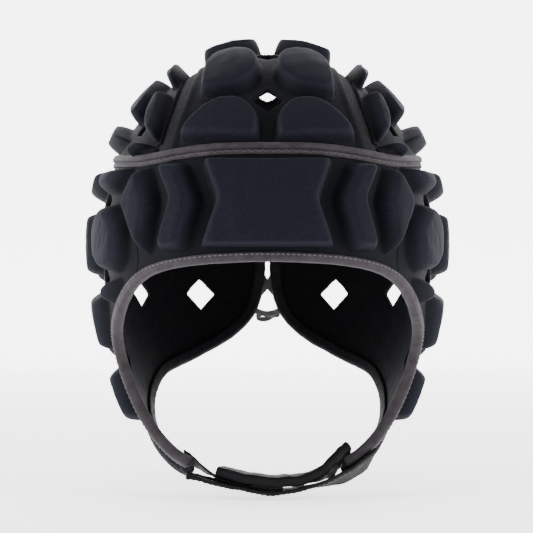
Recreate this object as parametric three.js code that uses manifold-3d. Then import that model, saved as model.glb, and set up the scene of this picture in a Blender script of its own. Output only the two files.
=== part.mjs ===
// A padded rugby headguard: crown, forehead and side panels with raised foam pads, open at the
// face and the neck, laced at the back and closed by a two-layer chin strap. Millimetres and degrees.
// +Z is up, the face looks along -Y and +X is the wearer's left. The origin is the inside of the crown.
import * as THREE from "three";
import Module from "manifold-3d";

const wasm = await Module();
wasm.setup();

// The head that the guard is formed on
const head_half_width = 86;
const head_front_depth = 99;
const head_back_depth = 101;
const crown_rise = 96.5;
const jaw_drop = 145;
const plan_squareness = 2.4;

// Cloth, foam and the room between pieces
const cloth_thickness = 2.5;
const pad_height = 8.5;
const pad_dome = 0.7;
const pad_edge_slope = 2.2;
const pad_edge_round = 2;
const pad_step = 30;
const valley_width = 5.5;
const piece_gap = 0.3;
const tape_room = 0.65;

// Openings through the panels
const vent_width = 17;
const vent_height = 17;
const ear_opening_width = 28;
const ear_opening_height = 38;

// Tape, mesh, lace and strap
const tape_thickness = 0.9;
const face_tape_leg = 4.9;
const neck_tape_leg = 6;
const crown_tape_width = 7.5;
const crown_tape_thickness = 1.5;
const gusset_width = 7;
const gusset_thickness = 1.4;
const lace_width = 3.4;
const lace_thickness = 1.4;
const lace_hole_radius = 1.6;
const strap_width = 20;
const strap_thickness = 1.6;
const strap_pad_thickness = 4.5;
const tab_width = 16;
const tab_thickness = 1.2;

// The level where the crown meets the wall, and the lines that bound the wall, in degrees round the head
const joint_latitude = 25.6;
const lacing_azimuth = 178.9;
const seam_line = [
  { share: 0, azimuth: 43.5 },
  { share: 0.14, azimuth: 43.6 },
  { share: 0.33, azimuth: 48 },
  { share: 0.5, azimuth: 44 },
  { share: 0.66, azimuth: 40.8 },
  { share: 0.84, azimuth: 40.4 },
  { share: 1, azimuth: 41.5 },
];
const face_line = [
  { azimuth: 0, latitude: -7.2 },
  { azimuth: 11, latitude: -7.4 },
  { azimuth: 21, latitude: -8.1 },
  { azimuth: 30, latitude: -9.5 },
  { azimuth: 38, latitude: -12 },
  { azimuth: 44.5, latitude: -15.6 },
  { azimuth: 50.5, latitude: -19.9 },
  { azimuth: 57.5, latitude: -25.4 },
  { azimuth: 65, latitude: -31 },
  { azimuth: 70.5, latitude: -37.5 },
  { azimuth: 72, latitude: -45 },
  { azimuth: 69, latitude: -52 },
  { azimuth: 60, latitude: -58 },
  { azimuth: 50, latitude: -61.3 },
  { azimuth: 41.5, latitude: -62.8 },
];
const neck_line = [
  { azimuth: 51, latitude: -67.5 },
  { azimuth: 68, latitude: -66 },
  { azimuth: 84, latitude: -63 },
  { azimuth: 100, latitude: -59 },
  { azimuth: 114, latitude: -54 },
  { azimuth: 126, latitude: -48 },
  { azimuth: 138, latitude: -41.8 },
  { azimuth: 156, latitude: -35.7 },
  { azimuth: 169, latitude: -29.8 },
  { azimuth: 176, latitude: -23 },
  { azimuth: lacing_azimuth, latitude: -13 },
  { azimuth: lacing_azimuth, latitude: 5 },
  { azimuth: lacing_azimuth, latitude: 22 },
];

// The places where four wall pads meet, for one side. A vent is cut at each, or the ear opening
const flap_tip = [
  { azimuth: 42.4, latitude: -64.4 },
  { azimuth: 44.6, latitude: -65.8 },
  { azimuth: 51, latitude: -67.4 },
  { azimuth: 58, latitude: -70 },
  { azimuth: 70, latitude: -77 },
];
const wall_nodes = {
  b0: { azimuth: 65.5, latitude: 24 },
  b1: { azimuth: 65.5, latitude: 11.5, opening: "vent" },
  b2: { azimuth: 66, latitude: -13.3, opening: "vent" },
  c0: { azimuth: 98, latitude: 24 },
  c1: { azimuth: 98, latitude: 9.5, opening: "vent" },
  c2: { azimuth: 98, latitude: -17, opening: "ear" },
  c3: { azimuth: 100, latitude: -39.5, opening: "vent" },
  d0: { azimuth: 130.5, latitude: 24 },
  d1: { azimuth: 130.5, latitude: 8.5, opening: "vent" },
  d2: { azimuth: 131.2, latitude: -17.6, opening: "vent" },
  d3: { azimuth: 128, latitude: -41.5 },
  e0: { azimuth: 157, latitude: 24 },
  e1: { azimuth: 157, latitude: 8, opening: "vent" },
  e2: { azimuth: 157.2, latitude: -17.2, opening: "vent" },
  e3: { azimuth: 156, latitude: -31 },
  f0: { azimuth: 171.5, latitude: 24 },
  f1: { azimuth: 171.5, latitude: 7.5 },
  f2: { azimuth: 171.5, latitude: -17.5 },
  f3: { azimuth: 169.5, latitude: -24 },
};
const wall_pads = [
  { row: "upper", corners: ["b0", "c0", "c1", "b1"] },
  { row: "upper", corners: ["c0", "d0", "d1", "c1"] },
  { row: "upper", corners: ["d0", "e0", "e1", "d1"] },
  { row: "upper", corners: ["e0", "f0", "f1", "e1"] },
  { row: "middle", corners: ["b1", "c1", "c2", "b2"] },
  { row: "middle", corners: ["c1", "d1", "d2", "c2"] },
  { row: "middle", corners: ["d1", "e1", "e2", "d2"] },
  { row: "middle", corners: ["e1", "f1", "f2", "e2"] },
  { row: "lower", corners: ["c2", "d2", "d3", "c3"] },
  { row: "lower", corners: ["d2", "e2", "e3", "d3"] },
  { row: "lower", corners: ["e2", "f2", "f3", "e3"] },
];

// Wall pads whose outlines follow the seam or a taped edge: azimuth and latitude of each corner
const fitted_wall_pads = [
  { place: "temple_top", outline: [[45, 22.4], [63.6, 22.4], [63.6, 13.4], [51.4, 13.4]] },
  {
    place: "temple",
    outline: [[43.8, -5.5], [43.8, 3.6], [51.6, 10.4], [57.6, 10.4], [63.8, 4.4], [63.8, -6.2], [58, -11], [48.4, -10.6]],
  },
  { place: "cheekbone", outline: [[47.6, -12.2], [57.4, -12.6], [62.2, -18.2], [60.6, -21], [54, -16.4]] },
  { place: "before_ear", outline: [[64, -18], [96, -18], [96, -37], [80, -37], [71.6, -28]] },
  { place: "jaw_front", outline: [[79, -41.5], [98.5, -41.5], [98, -54], [88, -57], [77.5, -54]] },
  { place: "jaw_rear", outline: [[101.5, -42.5], [120, -43.5], [115, -48], [107, -51.5], [101, -53]] },
];

// Forehead pads, each given by its inner and outer edge at three levels
const forehead_levels = { top: 22.3, waist: 10, bottom: -3.2 };
const forehead_pads = [
  { name: "centre", top: [-20, 20], waist: [-14.6, 14.6], bottom: [-19, 19], drop: 0 },
  { name: "chevron", top: [23.2, 35.4], waist: [17, 28], bottom: [21, 32], drop: -1 },
  { name: "kite", top: [37.6, 40.6], waist: [30.8, 46], bottom: [34, 36.8], drop: -2.2 },
];

// Crown pads of one side: degrees across from the middle line and degrees forward of the crown
const crown_vents = [14.2, 45.8, -14.2, -34];
const crown_centre_pads = [
  { row: "top", outline: [[1.8, -12.6], [15, -12.6], [16.2, 0], [15, 12.6], [1.8, 12.6]], cuts: [0, 4] },
  { row: "upper front", outline: [[1.8, 15.8], [14, 15.8], [18.4, 24], [20, 44.2], [1.8, 44.2]], cuts: [0, 4] },
  { row: "lower front", outline: [[1.8, 47.4], [15, 47.4], [20.4, 52.4], [24.8, 58.4], [1.8, 61.8]], cuts: [0] },
  { row: "upper rear", outline: [[1.8, -15.8], [15.4, -15.8], [17.4, -22], [18.6, -32.4], [1.8, -32.4]], cuts: [0, 4] },
  { row: "lower rear", outline: [[1.8, -35.6], [18.8, -35.6], [21.4, -46], [24.4, -57.6], [1.8, -61.8]], cuts: [0] },
];
const crown_side_vent = { across: 41.4, along: 40.6, width: 9, height: 9 };
const crown_side_pads = [
  { place: "gusset_top", outline: [[23.6, 2], [28, 2], [28.6, 22.4], [25.8, 22.4]] },
  { place: "gusset_low", outline: [[28, 28.6], [31.8, 28.6], [38.2, 40], [37.4, 49], [35.2, 53.2], [31.4, 45]] },
  { place: "middle", outline: [[30.2, 2], [47, 2], [47, 32.4], [41.4, 36.6], [33.4, 27]] },
  { place: "temple", outline: [[50.6, 2.4], [60.6, 2.4], [58.6, 22], [53.6, 33.6], [47.6, 40], [49.6, 32]] },
  { place: "corner", outline: [[41.4, 45.2], [46.4, 43], [46.2, 47.6], [42.6, 50.8], [38.6, 52.4]] },
];
const gusset_middle = { at_top: 19.5, spread: 12, reach: 57.5 };

// Holes for the lacing up the back, and the bow below it
const lace_holes = [
  { azimuth: 175.2, latitude: -19.6 },
  { azimuth: 177, latitude: -8.5 },
  { azimuth: 177, latitude: 4 },
  { azimuth: 177, latitude: 16.5 },
];
const bow_height = -132.5;
const bow_arm_azimuth = 175.2;
const bow_arm_latitude = -22.4;
const bow_loop_length = 12;
const bow_loop_width = 4.2;
const bow_tail_length = 15;

// The chin strap, from its free end under the right cheek to where it is sewn on the left cheek
const strap_outer_rows = [
  { x: -42, y: -57.5, lower_edge: -220, tilt: 0 },
  { x: -33, y: -57, lower_edge: -221.6, tilt: 0 },
  { x: -25.8, y: -55.5, lower_edge: -223.8, tilt: 0 },
  { x: -18.5, y: -54, lower_edge: -225.6, tilt: 0 },
  { x: -8, y: -54, lower_edge: -227.6, tilt: 0 },
  { x: 1.3, y: -54, lower_edge: -228.9, tilt: 0 },
  { x: 17, y: -53, lower_edge: -227.9, tilt: 2 },
  { x: 30, y: -50, lower_edge: -225.4, tilt: 12 },
  { x: 37.5, y: -46, lower_edge: -223, tilt: 25 },
  { x: 42.2, y: -41.8, lower_edge: -221, tilt: 33 },
  { x: 46.4, y: -38, lower_edge: -219, tilt: 33 },
  { x: 51.2, y: -33.7, lower_edge: -216, tilt: 33 },
  { x: 54.6, y: -30.6, lower_edge: -213.2, tilt: 33 },
];
const strap_joined_rows = [
  { x: -17, y: -52.8, lower_edge: -225.9 },
  { x: -8, y: -54, lower_edge: -227.6 },
  { x: 1.3, y: -54, lower_edge: -228.9 },
  { x: 8, y: -54, lower_edge: -228.6 },
];
const tab_sewn_azimuths = [58, 52, 46];
const tab_bridge = [
  { x: -32.4, y: -44.8, z: -217, tilt: 12 },
  { x: -25.4, y: -49.5, z: -220.9, tilt: 2 },
];
const strap_pad_end = { x: -23.4, y: -52, z: -217.2 };
const strap_pad_bridge = [
  { x: 17, y: -52, z: -220.9, tilt: 2 },
  { x: 26, y: -46.5, z: -217.6, tilt: 12 },
  { x: 32, y: -41.5, z: -215.2, tilt: 26 },
];
const strap_sewn_azimuths = [46, 51, 56, 60];
const flap_middle = [
  { azimuth: 42, latitude: -65.3 },
  { azimuth: 50, latitude: -64.6 },
  { azimuth: 56, latitude: -63.6 },
  { azimuth: 62, latitude: -62 },
];
const flap_tilt = 33;

const head_centre = new THREE.Vector3(0, 0, -crown_rise);
const degree = Math.PI / 180;
const mix = THREE.MathUtils.lerp;

// The form of the head: a rounded box in plan, an ellipse in height
function headLevel(v) {
  const depth = v.y < 0 ? head_front_depth : head_back_depth;
  const height = v.z > 0 ? crown_rise : jaw_drop;
  const plan = (Math.abs(v.x) / head_half_width) ** plan_squareness + (Math.abs(v.y) / depth) ** plan_squareness;
  return { depth, height, plan, value: plan ** (2 / plan_squareness) + (v.z / height) ** 2 };
}

// The outward normal of the form at a point given from the head's centre
function headNormal(v) {
  const { depth, height, plan } = headLevel(v);
  const share = plan > 1e-9 ? plan ** (2 / plan_squareness - 1) : 0;
  const e = plan_squareness - 1;
  return new THREE.Vector3(
    (share * (Math.abs(v.x) / head_half_width) ** e * Math.sign(v.x)) / head_half_width,
    (share * (Math.abs(v.y) / depth) ** e * Math.sign(v.y)) / depth,
    v.z / height ** 2,
  ).normalize();
}

// The point over the head in a direction, at a height along the normal
function overHead(direction, height) {
  const foot = direction.clone().divideScalar(Math.sqrt(headLevel(direction).value));
  const normal = headNormal(foot);
  return foot.addScaledVector(normal, height).add(head_centre);
}

// Two ways to lay degrees on the head: round the wall, and over the crown
const wall = {
  direction: (azimuth, latitude) => {
    const a = azimuth * degree;
    const l = latitude * degree;
    return new THREE.Vector3(Math.sin(a) * Math.cos(l), -Math.cos(a) * Math.cos(l), Math.sin(l));
  },
  stretch: (azimuth, latitude) => [Math.cos(latitude * degree), 1],
};
const crown = {
  direction: (across, along) => {
    const p = across * degree;
    const q = along * degree;
    return new THREE.Vector3(Math.sin(p), -Math.cos(p) * Math.sin(q), Math.cos(p) * Math.cos(q));
  },
  stretch: (across) => [1, Math.cos(across * degree)],
};

// Millimetres for one degree of each of a chart's two angles, near a place
function millimetresPerDegree(chart, place) {
  const reach = overHead(chart.direction(...place), cloth_thickness).distanceTo(head_centre);
  return chart.stretch(...place).map((share) => share * reach * degree);
}

// A closed body from points and triangles, turned so that its faces point out
function body(points, triangles) {
  let volume = 0;
  for (const [a, b, c] of triangles) {
    volume += points[a].dot(points[b].clone().cross(points[c]));
  }
  const faces = volume > 0 ? triangles : triangles.map(([a, b, c]) => [a, c, b]);
  const mesh = new wasm.Mesh({
    numProp: 3,
    vertProperties: new Float32Array(points.flatMap((p) => [p.x, p.y, p.z])),
    triVerts: new Uint32Array(faces.flat()),
  });
  return new wasm.Manifold(mesh);
}

// A body between two layers of the same grid of directions
function layered(directions, placeInner, placeOuter) {
  const rows = directions.length;
  const columns = directions[0].length;
  const points = [placeInner, placeOuter].flatMap((place) => directions.flat().map(place));
  const at = (layer, i, j) => (layer * rows + i) * columns + j;
  const triangles = [];
  const quad = (a, b, c, d) => triangles.push([a, b, c], [a, c, d]);
  for (let i = 0; i + 1 < rows; i += 1) {
    for (let j = 0; j + 1 < columns; j += 1) {
      quad(at(1, i, j), at(1, i, j + 1), at(1, i + 1, j + 1), at(1, i + 1, j));
      quad(at(0, i, j), at(0, i + 1, j), at(0, i + 1, j + 1), at(0, i, j + 1));
    }
    quad(at(0, i, 0), at(1, i, 0), at(1, i + 1, 0), at(0, i + 1, 0));
    quad(at(0, i + 1, columns - 1), at(1, i + 1, columns - 1), at(1, i, columns - 1), at(0, i, columns - 1));
  }
  for (let j = 0; j + 1 < columns; j += 1) {
    quad(at(0, 0, j + 1), at(1, 0, j + 1), at(1, 0, j), at(0, 0, j));
    quad(at(0, rows - 1, j), at(1, rows - 1, j), at(1, rows - 1, j + 1), at(0, rows - 1, j + 1));
  }
  return body(points, triangles);
}

// A sheet of cloth laid over the head. Its flat facets dip inside the round form, so it lies a little higher
const facet_rise = 0.3;
function sheet(directions, thickness = cloth_thickness) {
  return layered(directions, (d) => overHead(d, facet_rise), (d) => overHead(d, facet_rise + thickness));
}

// A cutter that stands square to the head, through any sheet
const cutter_low = -6;
const cutter_high = 16;
function cutter(directions) {
  return layered(directions, (d) => overHead(d, cutter_low), (d) => overHead(d, cutter_high));
}

// A cutter whose outline is a ring round a place
function ringCutter(chart, place, outline) {
  const [across, along] = millimetresPerDegree(chart, place);
  const centre = chart.direction(...place);
  const ring = outline.map(([x, y]) => chart.direction(place[0] + x / across, place[1] + y / along));
  const points = [cutter_low, cutter_high].flatMap((height) => [centre, ...ring].map((d) => overHead(d, height)));
  const count = ring.length + 1;
  const triangles = [];
  for (let i = 1; i < count; i += 1) {
    const next = (i % ring.length) + 1;
    triangles.push([0, next, i], [count, count + i, count + next]);
    triangles.push([i, next, count + next], [i, count + next, count + i]);
  }
  return body(points, triangles);
}

// A vent is a square on its point, and the ear opening an oval
function ventOutline(width = vent_width, height = vent_height) {
  return [[width / 2, 0], [0, height / 2], [-width / 2, 0], [0, -height / 2]];
}
function earOutline() {
  const steps = 16;
  return Array.from({ length: steps }, (_, i) => {
    const turn = (2 * Math.PI * i) / steps;
    return [(ear_opening_width / 2) * Math.cos(turn), (ear_opening_height / 2) * Math.sin(turn)];
  });
}

// How far a pad's edge keeps back from the place where four pads meet
function keepBack(opening) {
  if (opening === "vent") return [vent_width / 2 + 1.5, vent_height / 2 + 1.5];
  if (opening === "ear") return [ear_opening_width / 2 + 3, ear_opening_height / 2 + 2];
  return null;
}

// A pad's outline in millimetres round its middle: its cell moved in by a margin, its corners cut off
function padOutline(chart, corners, margin) {
  const middle = [0, 1].map((k) => corners.reduce((sum, c) => sum + c.place[k], 0) / corners.length);
  const scale = millimetresPerDegree(chart, middle);
  const flat = corners.map((c) => new THREE.Vector2(
    (c.place[0] - middle[0]) * scale[0],
    (c.place[1] - middle[1]) * scale[1],
  ));
  const turn = Math.sign(THREE.ShapeUtils.area(flat));
  const count = flat.length;
  const edges = flat.map((start, i) => {
    const along = flat[(i + 1) % count].clone().sub(start).normalize();
    const inward = new THREE.Vector2(-along.y, along.x).multiplyScalar(turn);
    return { start: start.clone().addScaledVector(inward, margin), along };
  });
  const inset = edges.map((edge, i) => {
    const last = edges[(i + count - 1) % count];
    const across = last.along.x * edge.along.y - last.along.y * edge.along.x;
    const reach = edge.start.clone().sub(last.start);
    return last.start.clone().addScaledVector(last.along, (reach.x * edge.along.y - reach.y * edge.along.x) / across);
  });
  const outline = [];
  inset.forEach((corner, i) => {
    if (!corners[i].cut) {
      outline.push(corner);
      return;
    }
    const [wide, tall] = corners[i].cut;
    const back = edges[(i + count - 1) % count].along;
    const ahead = edges[i].along;
    const room = (v) => 0.42 * v;
    const toLast = corner.distanceTo(inset[(i + count - 1) % count]);
    const toNext = corner.distanceTo(inset[(i + 1) % count]);
    const cutBack = Math.min(Math.hypot(back.x * wide, back.y * tall), room(toLast));
    const cutAhead = Math.min(Math.hypot(ahead.x * wide, ahead.y * tall), room(toNext));
    outline.push(corner.clone().addScaledVector(back, -cutBack), corner.clone().addScaledVector(ahead, cutAhead));
  });
  return { middle, scale, outline: divided(outline, pad_step) };
}

// An outline with its long sides divided
function divided(outline, step) {
  return outline.flatMap((start, i) => {
    const end = outline[(i + 1) % outline.length];
    const parts = Math.max(1, Math.ceil(start.distanceTo(end) / step));
    return Array.from({ length: parts }, (_, k) => start.clone().lerp(end, k / parts));
  });
}

// A raised pad: steep sides from inside the cloth, a bevelled rim and a slightly domed top
const pad_foot = cloth_thickness * 0.68;
function pad(chart, { middle, scale, outline }, inner_rings = 0) {
  const top = cloth_thickness + pad_height;
  const reach = outline.reduce((sum, p) => sum + p.length(), 0) / outline.length;
  const rim = (distance) => 1 - distance / reach;
  const rings = [
    { share: 1, height: pad_foot },
    { share: rim(pad_edge_slope), height: top - pad_edge_round },
    { share: rim(pad_edge_slope + pad_edge_round), height: top },
  ];
  for (let i = inner_rings; i > 0; i -= 1) {
    rings.push({ share: (rim(pad_edge_slope + pad_edge_round) * i) / (inner_rings + 1), height: top + pad_dome });
  }
  const place = (p, share) => chart.direction(middle[0] + (p.x * share) / scale[0], middle[1] + (p.y * share) / scale[1]);
  const points = rings.flatMap(({ share, height }) => outline.map((p) => overHead(place(p, share), height)));
  const count = outline.length;
  const foot = points.push(overHead(chart.direction(...middle), pad_foot)) - 1;
  const peak = points.push(overHead(chart.direction(...middle), top + pad_dome)) - 1;
  const triangles = [];
  for (let i = 0; i < count; i += 1) {
    const next = (i + 1) % count;
    triangles.push([foot, next, i]);
    for (let k = 0; k + 1 < rings.length; k += 1) {
      const a = k * count;
      const b = a + count;
      triangles.push([a + i, a + next, b + next], [a + i, b + next, b + i]);
    }
    const last = (rings.length - 1) * count;
    triangles.push([last + i, last + next, peak]);
  }
  return body(points, triangles);
}

// Pads given by the wall's nodes, and pads given by their own outline
function nodePad({ corners }) {
  const cells = corners.map((name) => {
    const node = wall_nodes[name];
    return { place: [node.azimuth, node.latitude], cut: keepBack(node.opening) };
  });
  return pad(wall, padOutline(wall, cells, valley_width / 2));
}
function fittedPad(chart, outline, cuts = []) {
  const cells = outline.map((place, i) => ({ place, cut: cuts.includes(i) ? keepBack("vent") : null }));
  return pad(chart, padOutline(chart, cells, 0));
}

// A table read between its rows
function readTable(table, key, value, at) {
  const rows = [...table].sort((a, b) => a[key] - b[key]);
  const above = rows.findIndex((row) => row[key] >= at);
  if (above <= 0) return above === 0 ? rows[0][value] : rows[rows.length - 1][value];
  const [low, high] = [rows[above - 1], rows[above]];
  return mix(low[value], high[value], (at - low[key]) / (high[key] - low[key]));
}

// A smooth line on the wall through a table's places, as points on the head with their directions across
function wallLine(table, steps) {
  const curve = new THREE.CatmullRomCurve3(
    table.map((row) => overHead(wall.direction(row.azimuth, row.latitude), 0)),
    false,
    "centripetal",
  );
  return Array.from({ length: steps + 1 }, (_, i) => {
    const ray = curve.getPoint(i / steps).sub(head_centre);
    const tangent = curve.getTangent(i / steps);
    const foot = ray.divideScalar(Math.sqrt(headLevel(ray).value));
    const normal = headNormal(foot);
    const side = tangent.clone().cross(normal).normalize();
    return { point: foot.add(head_centre), normal, side };
  });
}

// The same line moved in from its fold, as azimuths and latitudes
function movedIn(line, distance) {
  return line.map(({ point, side }) => {
    const ray = point.clone().addScaledVector(side, -distance).sub(head_centre).normalize();
    return { azimuth: Math.atan2(ray.x, -ray.y) / degree, latitude: Math.asin(ray.z) / degree };
  });
}

const fold_room = tape_thickness + 2 * piece_gap;
const face_fold = wallLine(face_line, 24);
const neck_fold = wallLine(neck_line, 24);
const face_edge = movedIn(face_fold, fold_room);
const millimetre = 1 / (head_front_depth * degree);
const crown_edge_latitude = joint_latitude + (piece_gap / 2) * millimetre;
const wall_edge_latitude = joint_latitude - (piece_gap / 2) * millimetre;

// The forehead: pads shaped as an hourglass, chevrons and kites
const forehead_columns = 10;
const brow = face_edge.filter((row) => row.latitude > -30);
const seam_foot = readTable(brow, "azimuth", "latitude", seam_line[seam_line.length - 1].azimuth);
function foreheadPanel() {
  const directions = seam_line.map((seam) => Array.from({ length: forehead_columns + 1 }, (_, j) => {
    const azimuth = ((2 * j) / forehead_columns - 1) * (seam.azimuth - (piece_gap / 2) * millimetre);
    const lowest = readTable(brow, "azimuth", "latitude", Math.abs(azimuth));
    return wall.direction(azimuth, mix(wall_edge_latitude, Math.max(lowest, seam_foot), seam.share));
  }));
  let panel = sheet(directions);
  for (const { name, top, waist, bottom, drop } of forehead_pads) {
    const sides = name === "centre" ? [1] : [-1, 1];
    for (const side of sides) {
      const levels = forehead_levels;
      const outline = [
        [side * top[0], levels.top],
        [side * top[1], levels.top],
        [side * waist[1], levels.waist],
        [side * bottom[1], levels.bottom + drop],
        [side * bottom[0], levels.bottom + drop],
        [side * waist[0], levels.waist],
      ];
      panel = panel.add(foreheadPad(outline));
    }
  }
  return panel;
}

// A forehead pad's top and bottom are divided too, so that it follows the brow
function foreheadPad(outline) {
  const middle = [0, 1].map((k) => outline.reduce((sum, p) => sum + p[k], 0) / outline.length);
  const scale = millimetresPerDegree(wall, middle);
  const flat = outline.map((p) => new THREE.Vector2((p[0] - middle[0]) * scale[0], (p[1] - middle[1]) * scale[1]));
  return pad(wall, { middle, scale, outline: divided(flat, pad_step * 0.7) }, 1);
}

// One side of the wall, from the forehead seam round to the lacing and down to the jaw
const side_columns = 14;
const side_rows = 10;
const side_start = 38;
const side_end = 180.5;
const side_overhang = 5;
const side_crowding = 0.85;
function sidePanel() {
  const hem = neck_line.filter((row) => row.latitude <= neck_line[neck_line.length - 3].latitude);
  const directions = [];
  for (let i = 0; i <= side_rows; i += 1) {
    directions.push(Array.from({ length: side_columns + 1 }, (_, j) => {
      const azimuth = mix(side_start, side_end, j / side_columns);
      const foot = readTable(hem, "azimuth", "latitude", azimuth) - side_overhang;
      return wall.direction(azimuth, mix(wall_edge_latitude, foot, (i / side_rows) ** side_crowding));
    }));
  }
  let panel = sheet(directions);
  for (const row of wall_pads) {
    panel = panel.add(nodePad(row));
  }
  for (const { outline } of fitted_wall_pads) {
    panel = panel.add(fittedPad(wall, outline));
  }
  for (const node of Object.values(wall_nodes)) {
    const place = [node.azimuth, node.latitude];
    if (node.opening === "vent") panel = panel.subtract(ringCutter(wall, place, ventOutline()));
    if (node.opening === "ear") panel = panel.subtract(ringCutter(wall, place, earOutline()));
  }
  return pierced(panel).subtract(neckCutter()).subtract(faceCutter()).subtract(seamCutter());
}

// What the side loses below: all that lies past the neck line and past the lacing's slit
const cutter_reach = 42;
function neckCutter() {
  const rows = neck_fold.map(({ point, side }) => [-fold_room, cutter_reach].map((distance) => (
    point.clone().addScaledVector(side, distance).sub(head_centre)
  )));
  const [next, last] = rows.slice(-2);
  const beyond = last.map((ray, k) => ray.clone().multiplyScalar(2).sub(next[k]));
  const [second, first] = [rows[1], rows[0]];
  const before = first.map((ray, k) => ray.clone().multiplyScalar(2).sub(second[k]));
  return cutter([before, ...rows, beyond]);
}

// What the side loses in front: the face opening, and the forehead's share
const cutter_front = 28;
function rowsCutter(rows) {
  const steps = 5;
  return cutter(rows.map(({ azimuth, latitude }) => Array.from({ length: steps + 1 }, (_, j) => (
    wall.direction(mix(cutter_front, azimuth, j / steps), latitude)
  ))));
}
function faceCutter() {
  const rows = face_edge.filter((row) => row.azimuth > cutter_front + 2);
  return rowsCutter([...rows, ...flap_tip]);
}
function seamCutter() {
  const rows = seam_line.map((seam) => ({
    latitude: mix(wall_edge_latitude, seam_foot, seam.share),
    azimuth: seam.azimuth + (piece_gap / 2) * millimetre,
  }));
  const [first, last] = [rows[0], rows[rows.length - 1]];
  return rowsCutter([
    { latitude: first.latitude + 4, azimuth: first.azimuth },
    ...rows,
    { latitude: last.latitude - 2, azimuth: last.azimuth },
  ]);
}

// The lace's holes go through the panel and through both legs of the black tape
function pierced(solid) {
  return lace_holes.reduce((rest, { azimuth, latitude }) => (
    rest.subtract(ringCutter(wall, [azimuth, latitude], laceHole()))
  ), solid);
}
function laceHole() {
  const sides = 8;
  return Array.from({ length: sides }, (_, i) => {
    const turn = (2 * Math.PI * i) / sides;
    return [lace_hole_radius * Math.cos(turn), lace_hole_radius * Math.sin(turn)];
  });
}

// The gusset's middle line leaves the crown and spreads towards the front and the back
function gussetLine(along) {
  return gusset_middle.at_top + gusset_middle.spread * (along / gusset_middle.reach) ** 2;
}
const crown_degree = 1 / (crown_rise * degree);
const gusset_half = (gusset_width / 2) * crown_degree;
const edge_cosine = Math.sin(crown_edge_latitude * degree);

// The middle of the crown, between the two gussets
const gusset_room = 0.5;
const crown_rows = 12;
const crown_columns = 4;
function crownCentre() {
  const directions = [];
  for (let i = 0; i <= crown_rows; i += 1) {
    directions.push([]);
    for (let j = 0; j <= crown_columns; j += 1) {
      const share = (2 * j) / crown_columns - 1;
      let across = share * gusset_middle.at_top;
      let along = 0;
      for (let pass = 0; pass < 12; pass += 1) {
        const end = Math.acos(Math.min(1, edge_cosine / Math.cos(across * degree))) / degree;
        along = end * ((2 * i) / crown_rows - 1);
        across = share * (gussetLine(along) - gusset_half - gusset_room * crown_degree);
      }
      directions[i].push(crown.direction(across, along));
    }
  }
  let panel = sheet(directions);
  for (const side of [-1, 1]) {
    for (const { outline, cuts } of crown_centre_pads) {
      panel = panel.add(fittedPad(crown, outline.map(([p, q]) => [side * p, q]), cuts));
    }
  }
  for (const along of crown_vents) {
    panel = panel.subtract(ringCutter(crown, [0, along], ventOutline()));
  }
  return panel;
}

// One side of the crown, between its gusset and the wall
const crown_side_rows = 10;
const crown_side_columns = 3;
const crown_side_reach = 55;
function crownSide() {
  const directions = [];
  for (let i = 0; i <= crown_side_rows; i += 1) {
    const along = mix(-crown_side_reach, crown_side_reach, i / crown_side_rows);
    const inner = gussetLine(along) + gusset_half + gusset_room * crown_degree;
    const outer = Math.acos(edge_cosine / Math.cos(along * degree)) / degree;
    directions.push(Array.from({ length: crown_side_columns + 1 }, (_, j) => (
      crown.direction(mix(inner, outer, j / crown_side_columns), along)
    )));
  }
  let panel = sheet(directions);
  for (const end of [-1, 1]) {
    for (const { outline } of crown_side_pads) {
      panel = panel.add(fittedPad(crown, outline.map(([p, q]) => [p, end * q])));
    }
    const { across, along, width, height } = crown_side_vent;
    panel = panel.subtract(ringCutter(crown, [across, end * along], ventOutline(width, height)));
  }
  return panel;
}

// The mesh strip between the crown's middle and its side
const gusset_rows = 12;
function gusset() {
  const directions = [];
  for (let i = 0; i <= gusset_rows; i += 1) {
    const share = (2 * i) / gusset_rows - 1;
    directions.push([-1, 0, 1].map((side) => {
      let along = share * gusset_middle.reach;
      let across = gussetLine(along);
      for (let pass = 0; pass < 12; pass += 1) {
        along = (share * Math.acos(edge_cosine / Math.cos(across * degree))) / degree;
        across = gussetLine(along) + side * gusset_half;
      }
      return crown.direction(across, along);
    }));
  }
  return sheet(directions, gusset_thickness);
}

// The two ends of a convex section, as triangles
function fan(count) {
  return Array.from({ length: count - 2 }, (_, i) => [0, i + 1, i + 2]);
}

// A body through rings of points, with its ends closed by given triangles or joined to each other
function lofted(rings, ends) {
  const count = rings[0].length;
  const triangles = [];
  const spans = ends ? rings.length - 1 : rings.length;
  for (let k = 0; k < spans; k += 1) {
    const a = k * count;
    const b = ((k + 1) % rings.length) * count;
    for (let i = 0; i < count; i += 1) {
      const next = (i + 1) % count;
      triangles.push([a + i, a + next, b + next], [a + i, b + next, b + i]);
    }
  }
  const last = (rings.length - 1) * count;
  for (const [a, b, c] of ends ?? []) {
    triangles.push([a, c, b], [last + a, last + b, last + c]);
  }
  return body(rings.flat(), triangles);
}

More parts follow.
